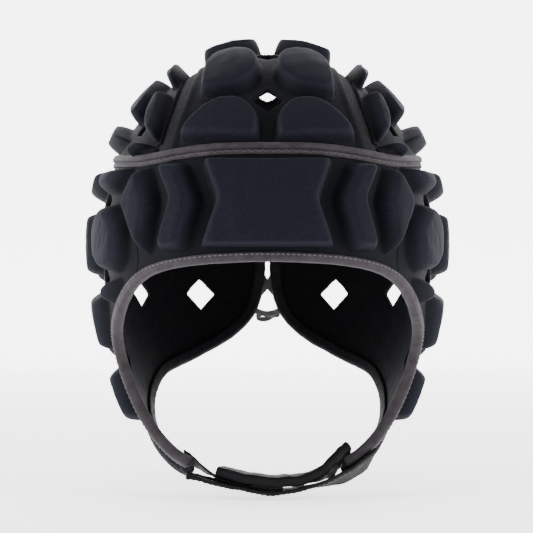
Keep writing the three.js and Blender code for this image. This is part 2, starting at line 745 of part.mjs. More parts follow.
// Tape folded over the edge of the cloth: a leg outside, the fold, and a leg inside
function foldSection(leg) {
  const top = cloth_thickness + tape_room + tape_thickness;
  const bottom = -tape_room - tape_thickness;
  return [
    [-leg, top],
    [-tape_thickness, top],
    [0, (top + bottom) / 2],
    [-tape_thickness, bottom],
    [-leg, bottom],
    [-leg, -tape_room],
    [-tape_thickness, -tape_room],
    [-tape_thickness, cloth_thickness + tape_room],
    [-leg, cloth_thickness + tape_room],
  ];
}
const fold_ends = [[0, 1, 7], [0, 7, 8], [1, 2, 7], [2, 6, 7], [2, 3, 6], [3, 4, 5], [3, 5, 6]];
function foldedTape(line, leg) {
  const section = foldSection(leg);
  const rings = line.map(({ point, normal, side }) => section.map(([across, height]) => (
    point.clone().addScaledVector(side, across).addScaledVector(normal, height)
  )));
  return lofted(rings, fold_ends);
}
function faceTape() {
  const left = face_fold.slice(1).reverse().map(({ point, normal, side }) => ({
    point: flipped(point),
    normal: flipped(normal),
    side: flipped(side),
  }));
  return foldedTape([...left, ...face_fold], face_tape_leg);
}

// The tape that covers the joint between the crown and the wall, all the way round
const crown_tape_steps = 44;
function crownTape() {
  const base = cloth_thickness + facet_rise + tape_room;
  const half = (crown_tape_width / 2) * millimetre;
  const section = [
    [-half, base],
    [half, base],
    [half, base + crown_tape_thickness * 0.6],
    [0, base + crown_tape_thickness],
    [-half, base + crown_tape_thickness * 0.6],
  ];
  const rings = Array.from({ length: crown_tape_steps }, (_, i) => section.map(([latitude, height]) => (
    overHead(wall.direction((360 * i) / crown_tape_steps, joint_latitude + latitude), height)
  )));
  return lofted(rings);
}

const flipped = (v) => new THREE.Vector3(-v.x, v.y, v.z);

// A body's other hand, across the middle plane
function otherHand(solid) {
  const { vertProperties, triVerts } = solid.getMesh();
  const points = [];
  for (let i = 0; i < vertProperties.length; i += 3) {
    points.push(new THREE.Vector3(-vertProperties[i], vertProperties[i + 1], vertProperties[i + 2]));
  }
  const triangles = [];
  for (let i = 0; i < triVerts.length; i += 3) {
    triangles.push([triVerts[i], triVerts[i + 1], triVerts[i + 2]]);
  }
  return body(points, triangles);
}

// A flat band through rows, each a point and the direction in which the band is wide
function ribbon(rows, width, thickness, steps, edge = 0) {
  const curve = new THREE.CatmullRomCurve3(rows.map((row) => row.point), false, "centripetal");
  const wide = new THREE.CatmullRomCurve3(rows.map((row) => row.wide));
  const [w, t] = [width / 2, thickness / 2];
  const corners = [[-w, -t], [w, -t], [w, t], [-w, t]];
  const section = edge === 0 ? corners : corners.flatMap(([x, y]) => {
    const sides = [[x, y - Math.sign(y) * edge], [x - Math.sign(x) * edge, y]];
    return x * y > 0 ? sides : sides.reverse();
  });
  const rings = Array.from({ length: steps + 1 }, (_, i) => {
    const centre = curve.getPoint(i / steps);
    const tangent = curve.getTangent(i / steps);
    const out = wide.getPoint(i / steps).cross(tangent).normalize();
    const across = tangent.clone().cross(out).normalize();
    return section.map(([x, y]) => centre.clone().addScaledVector(across, x).addScaledVector(out, y));
  });
  return lofted(rings, fan(section.length));
}

// The chin strap's bands: the width runs front to back and tilts to lie on the cheek flap
const tilted = (tilt) => new THREE.Vector3(0, Math.cos(tilt * degree), -Math.sin(tilt * degree));
const strapRow = ({ x, y, z, tilt = 0 }) => ({ point: new THREE.Vector3(x, y, z), wide: tilted(tilt) });
function sewnRows(azimuths, height, side) {
  return azimuths.map((azimuth) => {
    const latitude = readTable(flap_middle, "azimuth", "latitude", azimuth);
    const [low, high] = [-2, 2].map((step) => overHead(wall.direction(side * azimuth, latitude + step), height));
    return { point: low.clone().lerp(high, 0.5), wide: low.clone().sub(high).normalize() };
  });
}
function strapOuter() {
  const rows = strap_outer_rows.map(({ x, y, lower_edge, tilt }) => (
    strapRow({ x, y, z: lower_edge + strap_thickness / 2, tilt })
  ));
  return ribbon(rows, strap_width, strap_thickness, 20);
}
const tab_rise = strap_thickness + piece_gap + tab_thickness / 2;
const strap_pad_rise = tab_rise + tab_thickness / 2 + piece_gap * 1.5 + strap_pad_thickness / 2;
const inside_tape = -tape_room - tape_thickness - piece_gap - 1;
function joinedRows(rise) {
  return strap_joined_rows.map(({ x, y, lower_edge }) => strapRow({ x, y, z: lower_edge + rise }));
}
function strapTab() {
  const sewn = sewnRows(tab_sewn_azimuths, inside_tape - tab_thickness / 2, -1);
  return ribbon([...sewn, ...tab_bridge.map(strapRow), ...joinedRows(tab_rise)], tab_width, tab_thickness, 18);
}
function strapPad() {
  const sewn = sewnRows(strap_sewn_azimuths, inside_tape - strap_pad_thickness / 2, 1);
  const rows = [strapRow(strap_pad_end), ...joinedRows(strap_pad_rise), ...strap_pad_bridge.map(strapRow), ...sewn];
  return ribbon(rows, strap_width, strap_pad_thickness, 20, strap_pad_thickness * 0.3);
}

// The lace crosses the slit on the outside, from hole to hole
const lace_rise = cloth_thickness + tape_room + tape_thickness + 3 * piece_gap + lace_thickness / 2;
const outward = new THREE.Vector3(0, 1, 0);
function laceBand(places, steps) {
  const points = places.map(([azimuth, latitude, height]) => overHead(wall.direction(azimuth, latitude), height));
  const rows = points.map((point, i) => {
    const along = points[Math.min(i + 1, points.length - 1)].clone().sub(points[Math.max(i - 1, 0)]);
    return { point, wide: along.cross(outward).normalize() };
  });
  return ribbon(rows, lace_width, lace_thickness, steps);
}
function laceStub(azimuth, latitude) {
  const direction = wall.direction(azimuth, latitude);
  const [foot, head] = [overHead(direction, -1.6), overHead(direction, lace_rise)];
  const half = lace_hole_radius * 0.66;
  const rings = [foot, head].map((centre) => [[1, 0], [0, 1], [-1, 0], [0, -1]].map(([x, z]) => (
    centre.clone().add(new THREE.Vector3(x * half, 0, z * half))
  )));
  return lofted(rings, fan(4));
}
function laceCrossings() {
  const parts = [];
  for (const side of [1, -1]) {
    for (let i = 0; i + 1 < lace_holes.length; i += 1) {
      const [low, high] = [lace_holes[i], lace_holes[i + 1]];
      const middle = (low.latitude + high.latitude) / 2;
      parts.push(laceBand([
        [side * low.azimuth, low.latitude, lace_rise],
        [180, middle, lace_rise],
        [-side * high.azimuth, high.latitude, lace_rise],
      ], 2));
    }
    for (const { azimuth, latitude } of lace_holes) {
      parts.push(laceStub(side * azimuth, latitude));
    }
  }
  return parts.reduce((whole, part) => whole.add(part));
}

// The bow hangs from a knot below the lacing: two loops and two tails
function bow() {
  const back = overHead(wall.direction(180, lace_holes[0].latitude), lace_rise + 1).y;
  const knot_rings = [[-1.8, 1.2], [-0.9, 2.4], [0.9, 2.4], [1.8, 1.2]].map(([y, half]) => (
    [[1, 0.4], [0.4, 1], [-0.4, 1], [-1, 0.4], [-1, -0.4], [-0.4, -1], [0.4, -1], [1, -0.4]].map(([x, z]) => (
      new THREE.Vector3(x * half, back + y, bow_height + z * half)
    ))
  ));
  let solid = lofted(knot_rings, fan(8));
  const arm = [-1, 0, 1].map((side) => ({
    point: side === 0
      ? new THREE.Vector3(0, back, bow_height)
      : overHead(wall.direction(180 - side * (180 - bow_arm_azimuth), bow_arm_latitude), lace_rise),
    wide: new THREE.Vector3(0, 0, 1),
  }));
  solid = solid.add(ribbon(arm, 1.8, lace_thickness * 0.7, 4));
  const [loops_lie, tails_lie] = [back + 0.9, back - 0.9];
  const strand = (route, side, length, lie) => route.map(([x, z]) => ({
    point: new THREE.Vector3(side * x * bow_loop_width, lie, bow_height - z * length),
    wide: outward,
  }));
  for (const side of [-1, 1]) {
    const loop = strand([[0.15, 0], [0.75, 0.4], [1, 0.8], [0.7, 1], [0.42, 0.8], [0.12, 0.1]], side, bow_loop_length, loops_lie);
    const tail = strand([[0.1, 0], [0.5, 0.5], [0.35, 1]], side, bow_tail_length, tails_lie);
    solid = solid.add(ribbon(loop, 1.6, lace_thickness * 0.7, 7));
    solid = solid.add(ribbon(tail, 1.6, lace_thickness * 0.7, 2));
  }
  return solid;
}

// Colours and finish of each material
const finishes = {
  padded_cloth: { color: 0x1e202b, roughness: 0.85, metalness: 0 },
  mesh_cloth: { color: 0x0b0c11, roughness: 0.95, metalness: 0 },
  grey_tape: { color: 0x6a6168, roughness: 0.8, metalness: 0 },
  black_tape: { color: 0x15151a, roughness: 0.85, metalness: 0 },
  strap: { color: 0x17171b, roughness: 0.5, metalness: 0 },
  lace: { color: 0x5b545b, roughness: 0.8, metalness: 0 },
};

const scrum_cap = new THREE.Group();
function addPiece(name, solid, finish) {
  const { vertProperties, triVerts } = solid.getMesh();
  const geometry = new THREE.BufferGeometry();
  geometry.setAttribute("position", new THREE.BufferAttribute(new Float32Array(vertProperties), 3));
  geometry.setIndex(new THREE.BufferAttribute(new Uint32Array(triVerts), 1));
  geometry.computeVertexNormals();
  const mesh = new THREE.Mesh(geometry, new THREE.MeshStandardMaterial(finishes[finish]));
  mesh.name = name;
  scrum_cap.add(mesh);
}
function addPair(name, solid, finish) {
  addPiece(`${name}_left`, solid, finish);
  addPiece(`${name}_right`, otherHand(solid), finish);
}

addPiece("forehead_panel", foreheadPanel(), "padded_cloth");
addPair("side_panel", sidePanel(), "padded_cloth");
addPiece("crown_centre", crownCentre(), "padded_cloth");
addPair("crown_side", crownSide(), "padded_cloth");
addPair("gusset", gusset(), "mesh_cloth");
addPiece("crown_tape", crownTape(), "grey_tape");
addPiece("face_tape", faceTape(), "grey_tape");
addPair("neck_tape", pierced(foldedTape(neck_fold, neck_tape_leg)), "black_tape");
addPiece("strap_tab", strapTab(), "strap");
addPiece("strap_pad", strapPad(), "strap");
addPiece("strap_outer", strapOuter(), "strap");
addPiece("lace_crossings", laceCrossings(), "lace");
addPiece("lace_bow", bow(), "lace");

export default scrum_cap;
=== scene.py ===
"""Looks of a padded rugby headguard: knit cloth over foam pads, mesh strips, tapes, lace and chin strap.

Sizes are millimetres and degrees until a mesh is made, where they become metres. Every surface is worked out
from the head's form, two ways to lay degrees on it, and short tables of pads, lines and bands.
"""
import math
import bpy
import numpy as np
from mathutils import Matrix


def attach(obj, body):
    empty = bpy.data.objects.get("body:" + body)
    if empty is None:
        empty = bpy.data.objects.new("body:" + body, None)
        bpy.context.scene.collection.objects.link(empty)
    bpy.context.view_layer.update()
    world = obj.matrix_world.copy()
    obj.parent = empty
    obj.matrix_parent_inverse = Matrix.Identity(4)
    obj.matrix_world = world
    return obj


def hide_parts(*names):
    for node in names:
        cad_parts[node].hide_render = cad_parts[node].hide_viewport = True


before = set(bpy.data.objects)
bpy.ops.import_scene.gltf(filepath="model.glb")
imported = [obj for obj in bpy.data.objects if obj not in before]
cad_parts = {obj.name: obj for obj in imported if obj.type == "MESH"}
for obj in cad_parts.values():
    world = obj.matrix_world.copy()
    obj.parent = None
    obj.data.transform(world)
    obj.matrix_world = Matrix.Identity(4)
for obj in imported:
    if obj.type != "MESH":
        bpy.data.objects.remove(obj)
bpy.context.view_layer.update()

# The head that the guard is formed on
HALF_WIDTH = 86.0
FRONT_DEPTH = 99.0
BACK_DEPTH = 101.0
CROWN_RISE = 96.5
JAW_DROP = 145.0
SQUARENESS = 2.4
HEAD_CENTRE = np.array([0.0, 0.0, -CROWN_RISE])

# Cloth and foam; a cell is the step of a panel's grid
CLOTH = 2.5
PAD_HEIGHT = 8.5
PAD_HEIGHT_SHARES = (0.96, 1.03)
PAD_TILT = 0.0014
VALLEY = 5.5
VENT = 18.2
VENT_ROOM = 1.6
CELL = 0.85
DOME_HEIGHT = 0.9
DOME_START = 2
DOME_WIDTH = 9
# Where on a pad's slope the painted rim highlight is strongest, as a share of the slope, and how far it
# spreads
RIM_HIGHLIGHT_PLACE = 0.6
RIM_HIGHLIGHT_WIDTH = 0.2
HEM_WIDTH = 3.0
HEM_HEIGHT = 0.8

# Tapes, strap and lace
FOLD_ROOM = 1.3
FACE_TAPE_LEG = 4.9
NECK_TAPE_LEG = 6.2
GUSSET_WIDTH = 7.0
STRAP_WIDTH = 20.0
LACE_WIDTH = 3.4

# Lines on the wall, as azimuth and latitude; the seam by its share of the way down
JOINT_LATITUDE = 25.6
LACING_AZIMUTH = 178.9
SEAM_LINE = dict(
    share=[0, 0.14, 0.33, 0.5, 0.66, 0.84, 1],
    azimuth=[43.5, 43.6, 48, 44, 40.8, 40.4, 41.5],
)
FACE_LINE = [
    (0, -7.2), (11, -7.4), (21, -8.1), (30, -9.5), (38, -12), (44.5, -15.6), (50.5, -19.9), (57.5, -25.4),
    (65, -31), (70.5, -37.5), (72, -45), (69, -52), (60, -58), (50, -61.3), (41.5, -62.8),
]
NECK_LINE = [
    (51, -67.5), (68, -66), (84, -63), (100, -59), (114, -54), (126, -48), (138, -41.8), (156, -35.7),
    (169, -29.8), (176, -23), (LACING_AZIMUTH, -13), (LACING_AZIMUTH, 5), (LACING_AZIMUTH, 22),
]
FLAP_TIP = [(42.4, -64.4), (44.6, -65.8), (48, -66.9)]

# Places where four wall pads meet, for one side: azimuth, latitude and what is cut there
NODES = dict(
    b0=(65.5, 24, None), b1=(65.5, 11.5, "vent"), b2=(66, -13.3, "vent"),
    c0=(98, 24, None), c1=(98, 9.5, "vent"), c2=(98, -17, "ear"), c3=(100, -39.5, "vent"),
    d0=(130.5, 24, None), d1=(130.5, 8.5, "vent"), d2=(131.2, -17.6, "vent"), d3=(128, -41.5, None),
    e0=(157, 24, None), e1=(157, 8, "vent"), e2=(157.2, -17.2, "vent"), e3=(156, -31, None),
    f0=(171.5, 24, None), f1=(171.5, 7.5, None), f2=(171.5, -17.5, None), f3=(169.5, -24, None),
)
NODE_PADS = [
    "b0 c0 c1 b1", "c0 d0 d1 c1", "d0 e0 e1 d1", "e0 f0 f1 e1",
    "b1 c1 c2 b2", "c1 d1 d2 c2", "d1 e1 e2 d2", "e1 f1 f2 e2",
    "c2 d2 d3 c3", "d2 e2 e3 d3", "e2 f2 f3 e3",
]
# Wall pads with outlines of their own
FITTED_WALL_PADS = [
    [(45, 21), (63.6, 21.6), (63.6, 13.4), (51.4, 13.4)],
    [
        (43.8, -5.5), (43.8, 3.6), (51.6, 10.4), (57.6, 10.4), (63.8, 4.4), (63.8, -6.2), (58, -11),
        (48.4, -10.6),
    ],
    [(47.6, -12.2), (57.4, -12.6), (62.2, -18.2), (60.6, -21), (54, -16.4)],
    [(64, -18), (96, -18), (96, -37), (80, -37), (71.6, -28)],
    [(79, -41.5), (98.5, -41.5), (98, -54), (88, -57), (77.5, -54)],
    [(101.5, -42.5), (120, -43.5), (115, -48), (107, -51.5), (101, -53)],
]
EAR_WIDTH = 28.0
EAR_HEIGHT = 38.0
EAR_ROOM = (3, 2)
OPENING_REACH = 30

# Forehead pads: inner and outer azimuth at the top, the waist and the bottom, and how far top and bottom drop
FOREHEAD_LEVELS = (22.3, 10, -3.2)
FOREHEAD_PADS = [
    ((-20, 20), (-14.6, 14.6), (-19, 19), 0.2, 0),
    ((24.4, 35.2), (18.2, 28), (22.4, 32), 1.2, -1),
    ((37.6, 40.4), (31.4, 46), (34.4, 36.8), 1.9, -2.2),
]

# Crown pads of one side: degrees across and degrees forward, and the corners cut for a vent
CROWN_VENTS = (14.2, 45.8, -14.2, -34)
CROWN_CENTRE_PADS = [
    ([(1.8, -12.6), (19.2, -12), (20.6, 0), (19.2, 12), (1.8, 12.6)], (0, 4)),
    ([(1.8, 18.4), (14, 18.4), (18.4, 24), (20, 43.4), (1.8, 43.4)], (0, 4)),
    ([(1.8, 46.8), (15.4, 46.4), (21, 50.6), (27, 59.4), (1.8, 63.4)], (0,)),
    ([(1.8, -16.6), (15.4, -16.6), (18.4, -22), (19.6, -32.4), (1.8, -32.4)], (0, 4)),
    ([(1.8, -35.6), (19.8, -35.6), (22.4, -46), (25.4, -57.6), (1.8, -61.8)], (0,)),
]
# Small vent at both ends of a crown side: degrees across, degrees along, and its size
CROWN_SIDE_VENT = (41.4, 40.6, 10.0)
CROWN_SIDE_PADS = [
    [(25.55, 0.6), (30.9, 0.6), (30.8, 21), (28.6, 28.4), (26.4, 22.4)],
    [(29.4, 30.8), (34.6, 33), (37.2, 43.6), (36.8, 50.4), (34.8, 54.6), (32.4, 56.8), (31, 50), (29.6, 41)],
    [(31.8, 1.4), (46.4, 1.4), (46, 20), (43.8, 33.6), (40.8, 37), (35.4, 28.4)],
    [(50.6, 2.4), (60.8, 2.4), (58.6, 22), (53.6, 33.6), (47.6, 40), (49.6, 32)],
    [(43, 52.2), (40, 51.6), (36.4, 54), (32.2, 59.8), (35, 62.4), (43.2, 57.8)],
]
# How the joint of crown and wall leaves its middle latitude: degrees, at an azimuth, over a width
JOINT_BENDS = [(-2.9, 42, 20), (1.1, 96, 26)]
# Middle of the mesh strip: degrees across at the top, and how far it spreads at a reach along
GUSSET = dict(at_top=23.2, spread=7.0, reach=57.5)
CROWN_DEGREE = 1 / (CROWN_RISE * math.pi / 180)
GUSSET_EDGE = (GUSSET_WIDTH / 2 + 0.3) * CROWN_DEGREE
STRIP_WIDTH = GUSSET_WIDTH + 3.4

# Smallest divisor, and how many points are worked on at once
TINY = 1e-12
BLOCK = 4000


def unit(vectors):
    """Vectors of length one."""
    return vectors / np.linalg.norm(vectors, axis=-1, keepdims=True)


def cross(a, b):
    """Cross product of vectors in a plane."""
    return a[:, 0] * b[:, 1] - a[:, 1] * b[:, 0]


def level(v):
    """Size of the head along each axis at a point from its centre, and the plan's rounded-box sum."""
    depth = np.where(v[..., 1] < 0, FRONT_DEPTH, BACK_DEPTH)
    height = np.where(v[..., 2] > 0, CROWN_RISE, JAW_DROP)
    plan = (np.abs(v[..., 0]) / HALF_WIDTH) ** SQUARENESS + (np.abs(v[..., 1]) / depth) ** SQUARENESS
    return depth, height, plan


def over_head(direction, rise):
    """Point over the head: the form is met where the rounded-box sum to the power 2 / squareness plus the
    squared height share is one, and the point then goes out by rise along the form's normal, its gradient."""
    depth, height, plan = level(direction)
    size = np.sqrt(plan ** (2 / SQUARENESS) + (direction[..., 2] / height) ** 2)
    foot = direction / size[..., None]
    depth, height, plan = level(foot)
    share = np.maximum(plan, TINY) ** (2 / SQUARENESS - 1)
    power = SQUARENESS - 1
    normal = np.stack([
        share * (np.abs(foot[..., 0]) / HALF_WIDTH) ** power * np.sign(foot[..., 0]) / HALF_WIDTH,
        share * (np.abs(foot[..., 1]) / depth) ** power * np.sign(foot[..., 1]) / depth,
        foot[..., 2] / height**2,
    ], axis=-1)
    return foot + unit(normal) * np.asarray(rise)[..., None] + HEAD_CENTRE


def wall(azimuth, latitude):
    """Direction on the wall chart: azimuth round from the face, latitude up from the head's middle."""
    a, l = np.radians(azimuth), np.radians(latitude)
    return np.stack([np.sin(a) * np.cos(l), -np.cos(a) * np.cos(l), np.sin(l)], axis=-1)


def crown(across, along):
    """Direction on the crown chart: across from the middle line, along forward from the top."""
    p, q = np.radians(across), np.radians(along)
    return np.stack([np.sin(p), -np.cos(p) * np.sin(q), np.cos(p) * np.cos(q)], axis=-1)


def scale_at(chart, place):
    """Millimetres for one degree of each chart angle near a place."""
    u, v = (float(x) for x in place)
    reach = np.linalg.norm(over_head(chart(u, v), CLOTH) - HEAD_CENTRE) * math.pi / 180
    if chart is wall:
        return np.array([reach * math.cos(math.radians(v)), reach])
    return np.array([reach, reach * math.cos(math.radians(u))])


def nearest(points, polygon):
    """Closest place on a closed outline for each point, and the distance to it, positive inside. A point is
    inside when a level line from it crosses the sides an odd number of times."""
    blocks = np.array_split(points, max(1, len(points) // BLOCK))
    found = [nearest_of_block(block, np.asarray(polygon, float)) for block in blocks]
    return tuple(np.concatenate(values) for values in zip(*found))


def nearest_of_block(points, start):
    """The same for so many points that their distances to all sides fit in memory."""
    side = np.roll(start, -1, axis=0) - start
    offset = points[:, None, :] - start
    share = np.clip((offset * side).sum(-1) / np.maximum((side**2).sum(-1), TINY), 0, 1)
    gap = offset - share[..., None] * side
    distance = np.linalg.norm(gap, axis=-1)
    best = distance.argmin(axis=1)
    rows = np.arange(len(points))
    above = start[:, 1] > points[:, None, 1]
    turned = above != np.roll(above, -1, axis=1)
    slope = side[:, 0] / np.where(side[:, 1] == 0, TINY, side[:, 1])
    crossing = turned & (points[:, None, 0] < start[:, 0] + slope * (points[:, None, 1] - start[:, 1]))
    inside = crossing.sum(axis=1) % 2 == 1
    return points - gap[rows, best], np.where(inside, distance[rows, best], -distance[rows, best])


def outline_sides(outline):
    """Sides of a closed outline, and 1 if it runs to the left or -1 if to the right."""
    after = np.roll(outline, -1, axis=0)
    return after - outline, np.sign(cross(outline, after).sum())


def inset(outline, margin):
    """Outline with every side moved in by margin, the corners where the moved sides meet."""
    side, turn = outline_sides(outline)
    ahead = unit(side)
    moved = outline + turn * margin * np.stack([-ahead[:, 1], ahead[:, 0]], axis=1)
    before, last = np.roll(ahead, 1, axis=0), np.roll(moved, 1, axis=0)
    along = cross(moved - last, ahead) / cross(before, ahead)
    return last + before * along[:, None]


def vent_outline(size=VENT):
    """Vent's outline round its place in millimetres: a square on its point."""
    half = size / 2
    return np.array([(half, 0), (0, half), (-half, 0), (0, -half)])


def ear_outline():
    """Ear opening's outline round its place in millimetres: an ellipse."""
    turn = np.linspace(0, 2 * math.pi, 48, endpoint=False)
    return np.stack([EAR_WIDTH / 2 * np.cos(turn), EAR_HEIGHT / 2 * np.sin(turn)], axis=1)


def keep_back(opening):
    """How far pads stay from the middle of an opening, across and along."""
    if opening == "ear":
        return np.array([EAR_WIDTH / 2 + EAR_ROOM[0], EAR_HEIGHT / 2 + EAR_ROOM[1]])
    return np.array([VENT / 2 + VENT_ROOM, VENT / 2 + VENT_ROOM])


def pad_outline(chart, places, shoulder, rounding, lean=0.0, margin=0, openings=None):
    """Pad outline in millimetres round its middle: the cell moved in by a margin, with a corner cut off where
    an opening lies, by at most 0.42 of a side. The shoulder is the width of the pad's slope, wider by the
    lean on the side of lower azimuth, and the rounding is how far its corners are smoothed."""
    places = np.asarray(places, float)
    middle = places.mean(axis=0)
    scale = scale_at(chart, middle)
    corners = inset((places - middle) * scale, margin) if margin else (places - middle) * scale
    outline = []
    for i, corner in enumerate(corners):
        if not openings or not openings[i]:
            outline.append(corner)
            continue
        for other in (corners[i - 1], corners[(i + 1) % len(corners)]):
            way = other - corner
            room = np.linalg.norm(way)
            cut = min(np.linalg.norm(way / room * keep_back(openings[i])), 0.42 * room)
            outline.append(corner + way / room * cut)
    return dict(
        middle=middle, scale=scale, outline=np.array(outline), shoulder=shoulder, rounding=rounding, lean=lean
    )


def ripple(points, size, seed):
    """Smooth unevenness of about -1 to 1: a sum of seven sine waves that run in different directions."""
    source = np.random.default_rng(seed)
    waves = source.normal(size=(7, 3)) / size
    return np.sin(points @ waves.T * 2 * math.pi + source.uniform(0, 6.3, 7)).sum(axis=-1) / 4.5


def pad_inside(points, pad):
    """Distance in from a pad's outline, smooth over its corners, and the way in across the chart.

    The distances d to the sides join as -k log(sum(exp(-d / k))), which rounds the corners. The two sides at
    a corner that points inwards first join as k log(exp(d1 / k) + exp(d2 / k)).
    """
    outline, k = pad["outline"], pad["rounding"]
    side, turn = outline_sides(outline)
    inward = unit(np.stack([-side[:, 1], side[:, 0]], axis=1)) * turn
    distance = ((points[:, None] - outline) * inward).sum(axis=-1)
    way = np.broadcast_to(inward[:, 0], distance.shape).copy()
    bends = cross(np.roll(side, 1, axis=0), side) * turn
    for i in np.flatnonzero(bends < 0):
        a, b = distance[:, i - 1].copy(), distance[:, i].copy()
        weight = 1 / (1 + np.exp(np.clip((b - a) / k, -40, 40)))
        distance[:, i] = np.maximum(a, b) + k * np.log1p(np.exp(-np.abs(a - b) / k))
        way[:, i] = weight * way[:, i - 1] + (1 - weight) * way[:, i]
        distance[:, i - 1] = 1e3
    low = distance.min(axis=1, keepdims=True)
    share = np.exp(-(distance - low) / k)
    total = share.sum(axis=1)
    return low[:, 0] - k * np.log(total), (share * way).sum(axis=1) / total


def pad_rise(inside, shoulder):
    """Foam pad's share of its full height: 1 - (1 - inside / shoulder)^1.9, up to its shoulder."""
    return 1 - (1 - np.clip(inside / shoulder, 0, 1)) ** 1.9


def build_mesh(name, points, faces, marks, lengths=None):
    """Mesh object from points in millimetres and four-sided faces, with a number per point for each mark."""
    mesh = bpy.data.meshes.new(name)
    mesh.from_pydata(np.asarray(points, dtype=float) / 1000, [], np.asarray(faces).tolist())
    for key, values in marks.items():
        layer = mesh.attributes.new(key, "FLOAT", "POINT")
        layer.data.foreach_set("value", np.asarray(values, dtype=np.float32).ravel())
    if lengths is not None:
        corner = np.empty(len(mesh.loops), dtype=np.int32)
        mesh.loops.foreach_get("vertex_index", corner)
        layer = mesh.uv_layers.new(name="Lengths")
        layer.data.foreach_set("uv", np.asarray(lengths, dtype=np.float32)[corner].ravel())
    mesh.shade_smooth()
    mesh.update()
    piece = bpy.data.objects.new(name, mesh)
    bpy.context.collection.objects.link(piece)
    return piece


def grid_faces(rows, columns, around=False, closed=False):
    """Faces of a grid of points; around joins its last column to its first, closed its last row."""
    i = np.arange(rows if closed else rows - 1)[:, None]
    j = np.arange(columns if around else columns - 1)[None, :]
    ahead, beside = (i + 1) % rows, (j + 1) % columns
    corners = [i * columns + j, i * columns + beside, ahead * columns + beside, ahead * columns + j]
    return np.stack(np.broadcast_arrays(*corners), axis=-1).reshape(-1, 4)


def open_edges(faces):
    """Edges that belong to one face only, in that face's direction."""
    edges = np.concatenate([np.stack([faces[:, k], faces[:, (k + 1) % 4]], axis=1) for k in range(4)])
    _, index, count = np.unique(np.sort(edges, axis=1), axis=0, return_index=True, return_counts=True)
    return edges[index[count == 1]]


def cut_grid(chart, grid, openings, outline):
    """Places and faces of a grid of chart angles, cut at openings and at an outline: points near an edge move
    onto it, and faces beyond are left out."""
    places = grid.reshape(-1, 2).copy()
    faces = grid_faces(*grid.shape[:2])
    gone, moved = np.zeros((2, len(places)), bool)
    for centre, shape in openings:
        scale = scale_at(chart, centre)
        local = (places - centre) * scale
        near = np.flatnonzero(np.abs(local).max(axis=1) < OPENING_REACH)
        spot, inside = nearest(local[near], shape)
        deep = inside > CELL * 0.9
        edge = (inside > -CELL * 0.4) & ~deep
        gone[near[deep]] = True
        moved[near[edge]] = True
        places[near[edge]] = spot[edge] / scale + centre
    faces = faces[~gone[faces].any(axis=1) & ~moved[faces].all(axis=1)]
    if outline is not None:
        faces = faces[nearest(places[faces].mean(axis=1), outline)[1] > 0]
        edge = np.unique(open_edges(faces))
        edge = edge[~moved[edge]]
        steps = np.array([scale_at(chart, place) for place in places[edge][::50]]).mean(axis=0)
        spot, inside = nearest(places[edge] * steps, outline * steps)
        close = np.abs(inside) < 2 * CELL
        places[edge[close]] = spot[close] / steps
    return places, faces


def pad_relief(places, pads, seed):
    """At each place, the share of a pad's height, which also sets the painted valley shade, how near it is to
    the pad's rim, which sets the painted rim highlight, and the dome's height.
    """
    rise, rim, dome = np.zeros((3, len(places)))
    for k, pad in enumerate(pads):
        local = (places - pad["middle"]) * pad["scale"]
        near = (np.abs(local) < np.abs(pad["outline"]).max(axis=0) + 1).all(axis=1)
        inside, way = pad_inside(local[near], pad)
        shoulder = pad["shoulder"] * (1 + pad["lean"] * way)
        source = np.random.default_rng(seed * 100 + k)
        high = source.uniform(*PAD_HEIGHT_SHARES) + local[near] @ source.uniform(-PAD_TILT, PAD_TILT, 2)
        swell = DOME_HEIGHT * (1 - np.exp(-np.maximum(inside - DOME_START, 0) / DOME_WIDTH))
        rise[near] = np.maximum(rise[near], pad_rise(inside, shoulder) * high)
        dome[near] = np.maximum(dome[near], swell)
        # Mask of the painted rim highlight, strongest at a set share of the way in across the pad's slope
        rim[near] = np.maximum(rim[near], np.exp(-(((inside / shoulder - RIM_HIGHLIGHT_PLACE) / RIM_HIGHLIGHT_WIDTH) ** 2)))
    return rise, rim, dome


def shell_faces(faces, top):
    """Faces over points top, the same over as many points behind them, and a rim between, turned so that the
    outer ones point away from the head's centre."""
    count = len(top)
    border = open_edges(faces)
    rim = np.stack([border[:, 1], border[:, 0], border[:, 0] + count, border[:, 1] + count], axis=1)
    every = np.concatenate([faces, faces[:, ::-1] + count, rim])
    a, b, c = (top[faces[:, k]] for k in (0, 1, 2))
    facing = (np.cross(b - a, c - a) * (a - HEAD_CENTRE)).sum()
    return every if facing > 0 else every[:, ::-1]


def panel(name, chart, grid, pads, openings, seed, outline=None, hem=0.0):
    """Padded panel from a grid of chart angles, an outer and an inner face joined by a rim.

    height = cloth + pad height * rise + dome + unevenness * (0.3 + rise) + hem
    """
    places, faces = cut_grid(chart, grid, openings, outline)
    rise, rim, dome = pad_relief(places, pads, seed)
    direction = chart(places[:, 0], places[:, 1])
    base = over_head(direction, CLOTH)
    uneven = 0.2 * ripple(base, 26, seed) + 0.09 * ripple(base, 8, seed + 1)
    low = over_head(direction, 0.15 * ripple(base, 18, seed + 2))
    high = over_head(direction, CLOTH + PAD_HEIGHT * rise + dome + uneven * (0.3 + rise) + np.ravel(hem))
    used, faces = np.unique(faces, return_inverse=True)
    faces = faces.reshape(-1, 4)
    none = np.zeros(len(used))
    # Marks for the cloth's colour: rise sets the painted shade in the valleys, rim the painted rim highlight,
    # lining the inner face
    marks = dict(
        rise=np.concatenate([rise[used], none]),
        rim=np.concatenate([rim[used], none]),
        lining=np.concatenate([none, none + 1]),
    )
    return build_mesh(name, np.concatenate([high[used], low[used]]), shell_faces(faces, high[used]), marks)


